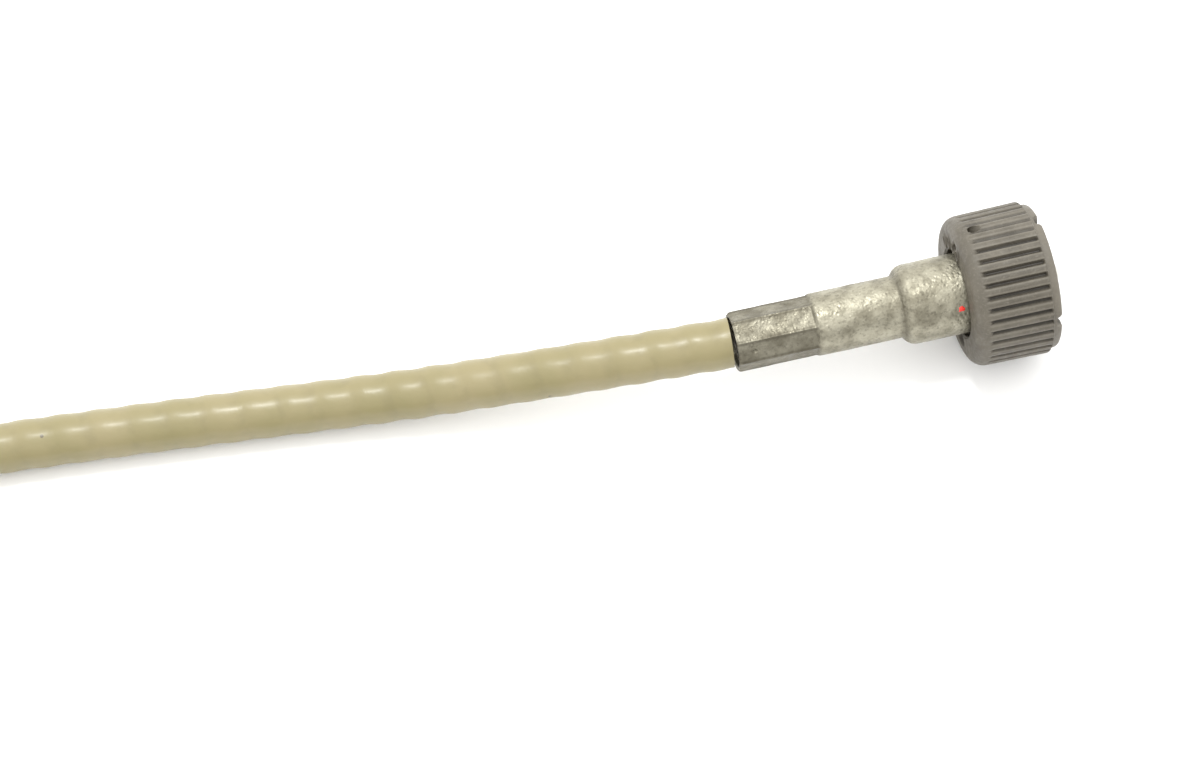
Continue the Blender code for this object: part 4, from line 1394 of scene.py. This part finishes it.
            # Painted shade and dirt in a band round each raised mark and inside it.
            dirt_and_shade += 0.9 * bell(reach - 1.0, 0.5) * (1.0 - ring)
            dirt_and_shade += 0.7 * (reach < 0.6)
        across = np.radians(wrapped(angle - self.pocket_angle)) * self.pocket_radius
        reach = np.hypot((radius - self.pocket_radius) / 1.15, across / 1.75)
        pocket = 1.0 - smooth_step(0.78, 1.0, reach)
        # Painted shade in the pocket.
        return rise - 0.55 * pocket, np.clip(dirt_and_shade + 0.8 * pocket, 0.0, 1.0)

    def drill(self, nut: bpy.types.Object) -> None:
        """Cut the seal wire's hole from the ribs out through the back face, by a Boolean.

        Args:
            nut: The nut, which gets a new mesh.
        """
        turn = round_turn(28)
        steps = np.array([-5.6, -5.0, 4.4, 5.0])
        angle = math.radians(self.hole_angle)
        radial = np.array([0.0, math.cos(angle), math.sin(angle)])
        axis = np.array([1.0, 0.0, 0.0])
        direction = (axis + self.hole_slope * radial) / math.hypot(1.0, self.hole_slope)
        side = np.cross(direction, [0.0, -math.sin(angle), math.cos(angle)])
        other = np.cross(direction, side)
        centre = np.array(self.fitting.mouth) / MM + axis * self.hole_place
        centre = centre + radial * (self.radius - 0.4)
        ring = np.cos(turn)[None, :, None] * side + np.sin(turn)[None, :, None] * other
        grid = centre + steps[:, None, None] * direction + ring * self.hole_diameter / 2
        cutter = swept_piece("seal_wire_drill", grid * MM, Closing.CAPS)
        modifier = nut.modifiers.new("seal_hole", "BOOLEAN")
        modifier.operation = "DIFFERENCE"
        modifier.solver = "EXACT"
        modifier.object = cutter
        bpy.context.view_layer.update()
        evaluated = nut.evaluated_get(bpy.context.evaluated_depsgraph_get())
        drilled = bpy.data.meshes.new_from_object(evaluated)
        nut.modifiers.clear()
        nut.data = drilled
        drilled.shade_smooth()
        bpy.data.objects.remove(cutter, do_unlink=True)


@dataclass
class InnerWorks:
    """The pieces inside the near fitting made here: drive tip, clip, bush and seal."""

    fitting: Fitting
    columns: int = 96
    square: float = 2.6
    square_corner: float = 1.62
    clip_half_width: float = 0.62 * MM
    clip_half_height: float = 0.29 * MM
    clip_radius: float = 2.22 * MM
    clip_place: float = 45.9 * MM
    seal_place: float = 43.4
    seal_radius: float = 6.0
    seal_section: float = 0.7
    tip_profile: Profile = (
        (31.0, 1.75), (31.15, 2.1), (35.4, 2.1), (35.4, 2.8), (35.5, 2.9), (36.3, 2.9),
        (36.4, 2.8), (36.4, 1.65), (45.3, 1.65), (45.3, 1.27), (46.5, 1.27), (46.5, 1.6),
        (46.55, 1.65), (46.9, 1.65), (47.0, 1.83), (51.5, 1.83), (51.85, 1.5), (52.0, 1.15),
    )
    bush_section: Profile = (
        (37.6, 2.2), (37.75, 2.0), (43.65, 2.0), (43.8, 2.15),
        (43.8, 3.15), (43.65, 3.3), (37.75, 3.3), (37.6, 3.15),
    )

    def tip(self) -> bpy.types.Object:
        """Drive tip: a turned journal whose front end changes to a square with broken edges.

        The section's radius at an angle is the smaller of the round's radius and
        the square's, half its width over the larger of |cos| and |sin|.

        Returns:
            The tip.
        """
        stations = divided_profile(self.tip_profile, 0.30)
        turn = round_turn(self.columns)
        square = self.square / 2 / np.maximum(np.abs(np.cos(turn)), np.abs(np.sin(turn)))
        square = np.minimum(square, self.square_corner)
        along, round_radius = stations[:, :1], stations[:, 1:]
        share = smooth_step(46.85, 47.05, along)
        radius = round_radius * (1.0 - share) + np.minimum(round_radius, square) * share
        tip_in = smooth_step(51.4, 52.0, along) * 0.28
        radius = radius - np.where(along > 51.4, tip_in, 0.0)
        grid = self.fitting.place(along * MM, radius * MM, np.degrees(turn)[None, :])
        piece = swept_piece("drive_tip", grid, Closing.CAPS)
        mark_sharp(piece, 30.0)
        return piece

    def clip(self) -> bpy.types.Object:
        """Open spring ring: a rounded flat section carried round most of a turn.

        Returns:
            The clip.
        """
        turn = np.linspace(-55.0, 235.0, 90)
        across, height = rounded_square(round_turn(16), 0.45)
        radius = self.clip_radius + self.clip_half_width * across
        along = self.clip_place + self.clip_half_height * height
        grid = self.fitting.place(along[None, :], radius[None, :], turn[:, None])
        piece = swept_piece("spring_clip", grid, Closing.CAPS)
        mark_sharp(piece, 40.0)
        return piece

    def bush(self) -> bpy.types.Object:
        """Turned bearing bush with broken edges."""
        section = np.array(self.bush_section) * MM
        return self.fitting.turned("bearing_bush", section, self.columns)

    def seal(self) -> bpy.types.Object:
        """Rubber ring with a thin moulding line round its outside.

        Returns:
            The ring.
        """
        turn = round_turn(24)
        flash = 0.035 * bell(wrapped(np.degrees(turn)), 9.0)
        place = self.seal_place + self.seal_section * np.sin(turn)
        radius = self.seal_radius + (self.seal_section + flash) * np.cos(turn)
        section = np.stack([place, radius], -1) * MM
        return self.fitting.turned("seal_round", section, self.columns)

    def build(self, finishes: Finishes) -> None:
        """Make each piece, dress it and put it on its body.

        Args:
            finishes: The object's finishes.
        """
        fit_out(self.tip(), finishes.steel, "shaft", "bright_steel", "shaft_tip")
        fit_out(self.clip(), finishes.steel, "shaft", "bright_steel", "retaining_clip")
        fit_out(self.bush(), finishes.bronze, "casing", "bush_bronze", "guide_bush")
        fit_out(self.seal(), finishes.rubber, "casing", "seal_rubber", "seal_ring")


@dataclass
class PaintTouch:
    """Small red dab of paint where the nut meets the sleeve's flare."""

    fitting: Fitting
    place: float = 34.9
    angle: float = 137.0
    radius: float = 6.28
    length: float = 0.95
    width: float = 0.85
    sink: float = 0.03
    height: float = 0.13

    def build(self, finishes: Finishes) -> bpy.types.Object:
        """Make a low blob: rings of a rounded square that shrink towards its top, on the flare.

        Args:
            finishes: The object's finishes.

        Returns:
            The dab.
        """
        turn = round_turn(40)
        level = np.linspace(0.0, 1.0, 9)[:, None]
        size = np.sqrt(np.clip(1.0 - level**2, 0.0, 1.0)) * 0.94 + 0.06
        uneven = 1.0 + 0.13 * np.sin(3 * turn + 0.5) + 0.09 * np.sin(5 * turn + 2.0)
        x, y = rounded_square(turn, 0.62)
        along = self.place + self.length / 2 * size * (x * uneven)
        across = self.width / 2 * size * (y * uneven)
        radius = self.radius - self.sink + self.height * level
        angle = self.angle + np.degrees(across / self.radius)
        grid = self.fitting.place(along * MM, radius * MM, angle)
        piece = swept_piece("paint_dab", grid, Closing.CAPS)
        dress(piece, finishes.paint)
        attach(piece, "casing")
        return piece


# ---------------------------------------------------------------- far fitting


@dataclass
class FarEnd:
    """The other fitting: smaller crimped sleeve, hexagonal nut and flat tongue."""

    fitting: Fitting
    crimp: Crimp = Crimp(9.0 * MM, 0.5 * MM)
    columns: int = 160
    nut_columns: int = 288
    across_flats: float = 17.0
    nut_back: float = 22.0
    nut_front: float = 33.0
    thread_radius: float = 7.0
    thread_depth: float = 0.54
    tongue: float = 1.6
    sleeve_outside: Profile = (
        (0.0, 4.45), (0.1, 4.68), (0.35, 4.9), (25.85, 4.9), (26.0, 5.05), (26.0, 5.95),
        (26.15, 6.1), (27.45, 6.1), (27.6, 5.95), (27.6, 4.42), (28.8, 4.4), (29.0, 4.2),
    )
    sleeve_inside: Profile = (
        (29.0, 3.3), (16.6, 3.3), (16.6, 2.4), (14.0, 2.4), (14.0, 3.25),
        (10.0, 3.25), (10.0, 3.75), (0.5, 3.75), (0.0, 4.1), (0.0, 4.45),
    )
    tip_profile: Profile = (
        (17.8, 1.8), (17.95, 2.1), (20.2, 2.1), (20.2, 2.4), (20.3, 2.5), (21.1, 2.5),
        (21.2, 2.4), (21.2, 1.5), (29.3, 1.5), (30.2, 1.45), (35.6, 1.42), (36.0, 1.1),
    )

    def sleeve(self) -> bpy.types.Object:
        """Turn the sleeve's section and press its eight flats.

        Returns:
            The sleeve.
        """
        outside = divided_profile(self.sleeve_outside, 0.3)
        inside = divided_profile(self.sleeve_inside, 1.5)
        section = np.vstack([outside, inside[:-1]]) * MM
        angle = np.arange(self.columns)[None, :] * 360.0 / self.columns
        along = np.broadcast_to(section[:, :1], (len(section), self.columns))
        radius = np.broadcast_to(section[:, 1:], along.shape).copy()
        share = self.crimp.run_out(along)
        pressed = np.minimum(radius, self.crimp.flat(angle)) * (1.0 - share) + radius * share
        skin = slice(1, len(outside))
        radius[skin] = pressed[skin]
        crimp = 1.0 - share
        grid = self.fitting.place(along, radius, angle)
        piece = swept_piece("far_sleeve_skin", grid, Closing.LOOP, grime=0.25 * crimp)
        mark_sharp(piece, 38.0)
        return piece

    def nut(self) -> bpy.types.Object:
        """Hexagonal nut with cone-chamfered corners and a helical inside thread.

        The outside radius is half the width over cos(angle from a flat's middle),
        held below a cone at each end.

        Returns:
            The nut.
        """
        half = self.across_flats / 2
        stops = np.concatenate([
            np.linspace(self.nut_back, self.nut_back + 1.3, 8),
            np.linspace(self.nut_back + 2.0, self.nut_front - 2.0, 5),
            np.linspace(self.nut_front - 1.3, self.nut_front, 8),
        ])
        outside = np.stack([stops, np.full_like(stops, self.across_flats)], -1)
        turns = np.arange(31.9, 26.9, -0.125)
        inside = np.vstack([
            [(33.0, 7.6), (32.7, 7.2), (32.3, 7.02)],
            np.stack([turns, np.full_like(turns, self.thread_radius)], -1),
            [(26.7, 7.1), (24.4, 7.1), (24.4, 5.3), (24.3, 5.25), (22.3, 5.25), (22.0, 5.5)],
        ])
        section = np.vstack([outside, inside])
        degrees = np.arange(self.nut_columns) * 360.0 / self.nut_columns - 90.0
        angle = np.broadcast_to(degrees[None, :], (len(section), self.nut_columns))
        along = np.broadcast_to(section[:, :1], angle.shape)
        radius = np.broadcast_to(section[:, 1:], angle.shape)
        outer = np.arange(len(section))[:, None] < len(outside)
        from_flat = wrapped((angle - 90.0 - 30.0) * 6.0) / 6.0
        hexagon = half / np.cos(np.radians(from_flat))
        hexagon = hexagon - 0.10 * bell(30.0 - np.abs(from_flat), 1.2)
        end = np.minimum(along - self.nut_back, self.nut_front - along)
        cone = half - 0.15 + end * 1.75
        phase = along - 27.0 + angle / 360.0
        tooth = np.abs((phase % 1.0) * 2.0 - 1.0)
        threaded = ~outer & (along > 26.9) & (along < 32.0)
        fade = smooth_step(26.8, 27.3, along) * (1.0 - smooth_step(31.4, 32.0, along))
        radius = np.where(outer, np.minimum(hexagon, cone), radius)
        cut = self.thread_radius - self.thread_depth * tooth * fade
        radius = np.where(threaded, cut, radius)
        grid = self.fitting.place(along * MM, radius * MM, angle)
        # The inside is marked darker than the outside.
        grime = np.where(outer, 0.12, 0.35) * np.ones(angle.shape)
        piece = swept_piece("hexagon_nut", grid, Closing.LOOP, grime=grime)
        mark_sharp(piece, 26.0)
        return piece

    def tip(self) -> bpy.types.Object:
        """Far drive tip: a turned journal whose end is pressed to a flat tongue.

        The tongue's radius at an angle is half its thickness over |sin|.

        Returns:
            The tip.
        """
        stations = divided_profile(self.tip_profile, 0.3)
        turn = round_turn(96)
        along, round_radius = stations[:, :1], stations[:, 1:]
        flat = self.tongue / 2 / np.maximum(np.abs(np.sin(turn)), 0.05)
        share = smooth_step(29.2, 30.0, along)
        radius = round_radius * (1.0 - share) + np.minimum(round_radius, flat) * share
        grid = self.fitting.place(along * MM, radius * MM, np.degrees(turn)[None, :])
        piece = swept_piece("tongue_tip", grid, Closing.CAPS)
        mark_sharp(piece, 30.0)
        return piece

    def build(self, finishes: Finishes) -> None:
        """Make each piece, dress it and put it on its body.

        Args:
            finishes: The object's finishes.
        """
        fit_out(self.sleeve(), finishes.zinc, "casing", "zinc_sleeve", "far_sleeve")
        fit_out(self.nut(), finishes.zinc, "far_nut_body", "plated_nut", "far_nut")
        fit_out(self.tip(), finishes.steel, "far_shaft", "bright_steel", "far_shaft_tip")


# ---------------------------------------------------------------- studio


@dataclass
class Studio:
    """Ground, light and camera."""

    target: Point = (-46.525 * MM, 1.789 * MM, 0.0)
    camera_place: Point = (-93.40 * MM, -194.03 * MM, 457.67 * MM)
    lens: float = 95.6
    ground_size: float = 6.0
    bright_side: Point = (0.0, 0.75, 1.0)
    tent_range: tuple[float, float, float, float] = (-0.80, 0.60, 0.66, 1.90)

    def camera(self) -> None:
        """Camera that looks down on the near end from in front and a little from the left."""
        data = bpy.data.cameras.new("view")
        data.lens = self.lens
        data.sensor_width = 36.0
        data.clip_start = 0.01
        data.clip_end = 20.0
        view = bpy.data.objects.new("view", data)
        view.location = self.camera_place
        towards = Vector(self.target) - Vector(self.camera_place)
        view.rotation_euler = towards.to_track_quat("-Z", "Y").to_euler()
        bpy.context.scene.collection.objects.link(view)
        bpy.context.scene.camera = view

    def ground(self) -> None:
        """Plain pale ground at the height that the object stands on."""
        half = self.ground_size / 2
        outline = [(-half, -half, 0.0), (half, -half, 0.0), (half, half, 0.0), (-half, half, 0.0)]
        mesh = bpy.data.meshes.new("ground")
        mesh.from_pydata(outline, [], [(0, 1, 2, 3)])
        ground = link_mesh("ground", mesh)
        dress(ground, PaperGround().material())

    def light(self, name: str, place: Point, size: float, power: float, colour: Colour) -> None:
        """Hang a square soft light that points at the target.

        Args:
            name: Name of the light.
            place: Its place.
            size: Length of its sides.
            power: Its power in watts.
            colour: Its colour.
        """
        data = bpy.data.lights.new(name, "AREA")
        data.energy = power
        data.size = size
        data.color = colour
        lamp = bpy.data.objects.new(name, data)
        lamp.location = place
        towards = Vector(self.target) - Vector(place)
        lamp.rotation_euler = towards.to_track_quat("-Z", "Y").to_euler()
        bpy.context.scene.collection.objects.link(lamp)

    def sky(self) -> None:
        """White light tent: bright overhead and behind, dimmer low down on the near side."""
        world = bpy.data.worlds.new("tent")
        bpy.context.scene.world = world
        world.use_nodes = True
        tree = world.node_tree
        background = tree.nodes["Background"]
        coordinates = tree.nodes.new("ShaderNodeTexCoord")
        lean = tree.nodes.new("ShaderNodeVectorMath")
        lean.operation = "DOT_PRODUCT"
        lean.inputs[1].default_value = self.bright_side
        ramp = tree.nodes.new("ShaderNodeMapRange")
        ramp.interpolation_type = "SMOOTHSTEP"
        for label, value in zip(("From Min", "From Max", "To Min", "To Max"), self.tent_range):
            ramp.inputs[label].default_value = value
        tree.links.new(coordinates.outputs["Generated"], lean.inputs[0])
        tree.links.new(lean.outputs["Value"], ramp.inputs["Value"])
        tree.links.new(ramp.outputs["Result"], background.inputs["Strength"])
        background.inputs["Color"].default_value = (1.0, 0.995, 0.98, 1.0)

    def build(self) -> None:
        """Set up everything that isn't part of the object."""
        self.camera()
        self.ground()
        self.sky()
        self.light("key", (-0.06, 0.19, 0.72), 0.13, 2.6, (0.97, 0.99, 1.0))
        settings = bpy.context.scene.view_settings
        settings.view_transform = "Standard"
        settings.look = "None"
        settings.exposure = 0.0


# ---------------------------------------------------------------- assembly


CARRIED_OVER = {
    "thrust_washer": "brass",
    "shaft_washer": "nylon",
    "inner_shaft": "wire",
    "conduit_end": "wire",
    "sheath_end": "vinyl",
    "far_thrust_washer": "brass",
    "far_seal_ring": "rubber",
    "far_guide_bush": "bronze",
    "far_shaft_washer": "nylon",
    "far_inner_shaft": "wire",
    "far_conduit_end": "wire",
    "far_sheath_end": "vinyl",
}


def main() -> None:
    logging.basicConfig(level=logging.INFO, format="%(name)s: %(message)s")
    studio = Studio()
    studio.build()
    finishes = Finishes()
    near = Fitting((-26.0 * MM, 0.0, 12.0 * MM), 1.0)
    far = Fitting((-205.0 * MM, 3.2 * MM, 19.415 * MM), -1.0)

    casing = Casing()
    cable = casing.build(finishes)
    line, along = casing.centre_line()
    LOG.info("cable length %.4f m", along[-1])
    ties = [
        CoilTie("coil_tie_1", 150.0, inner=31.4 * MM, outer=48.0 * MM),
        CoilTie("coil_tie_2", 240.0, inner=29.5 * MM, outer=45.9 * MM),
    ]
    tie_pieces = [piece for tie in ties for piece in tie.build(finishes)]

    EndSleeve(near).build(finishes)
    UnionNut(near).build(finishes)
    InnerWorks(near).build(finishes)
    PaintTouch(near).build(finishes)
    FarEnd(far).build(finishes)
    for node, finish in CARRIED_OVER.items():
        dress(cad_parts[node], getattr(finishes, finish))


if __name__ == "__main__":
    main()
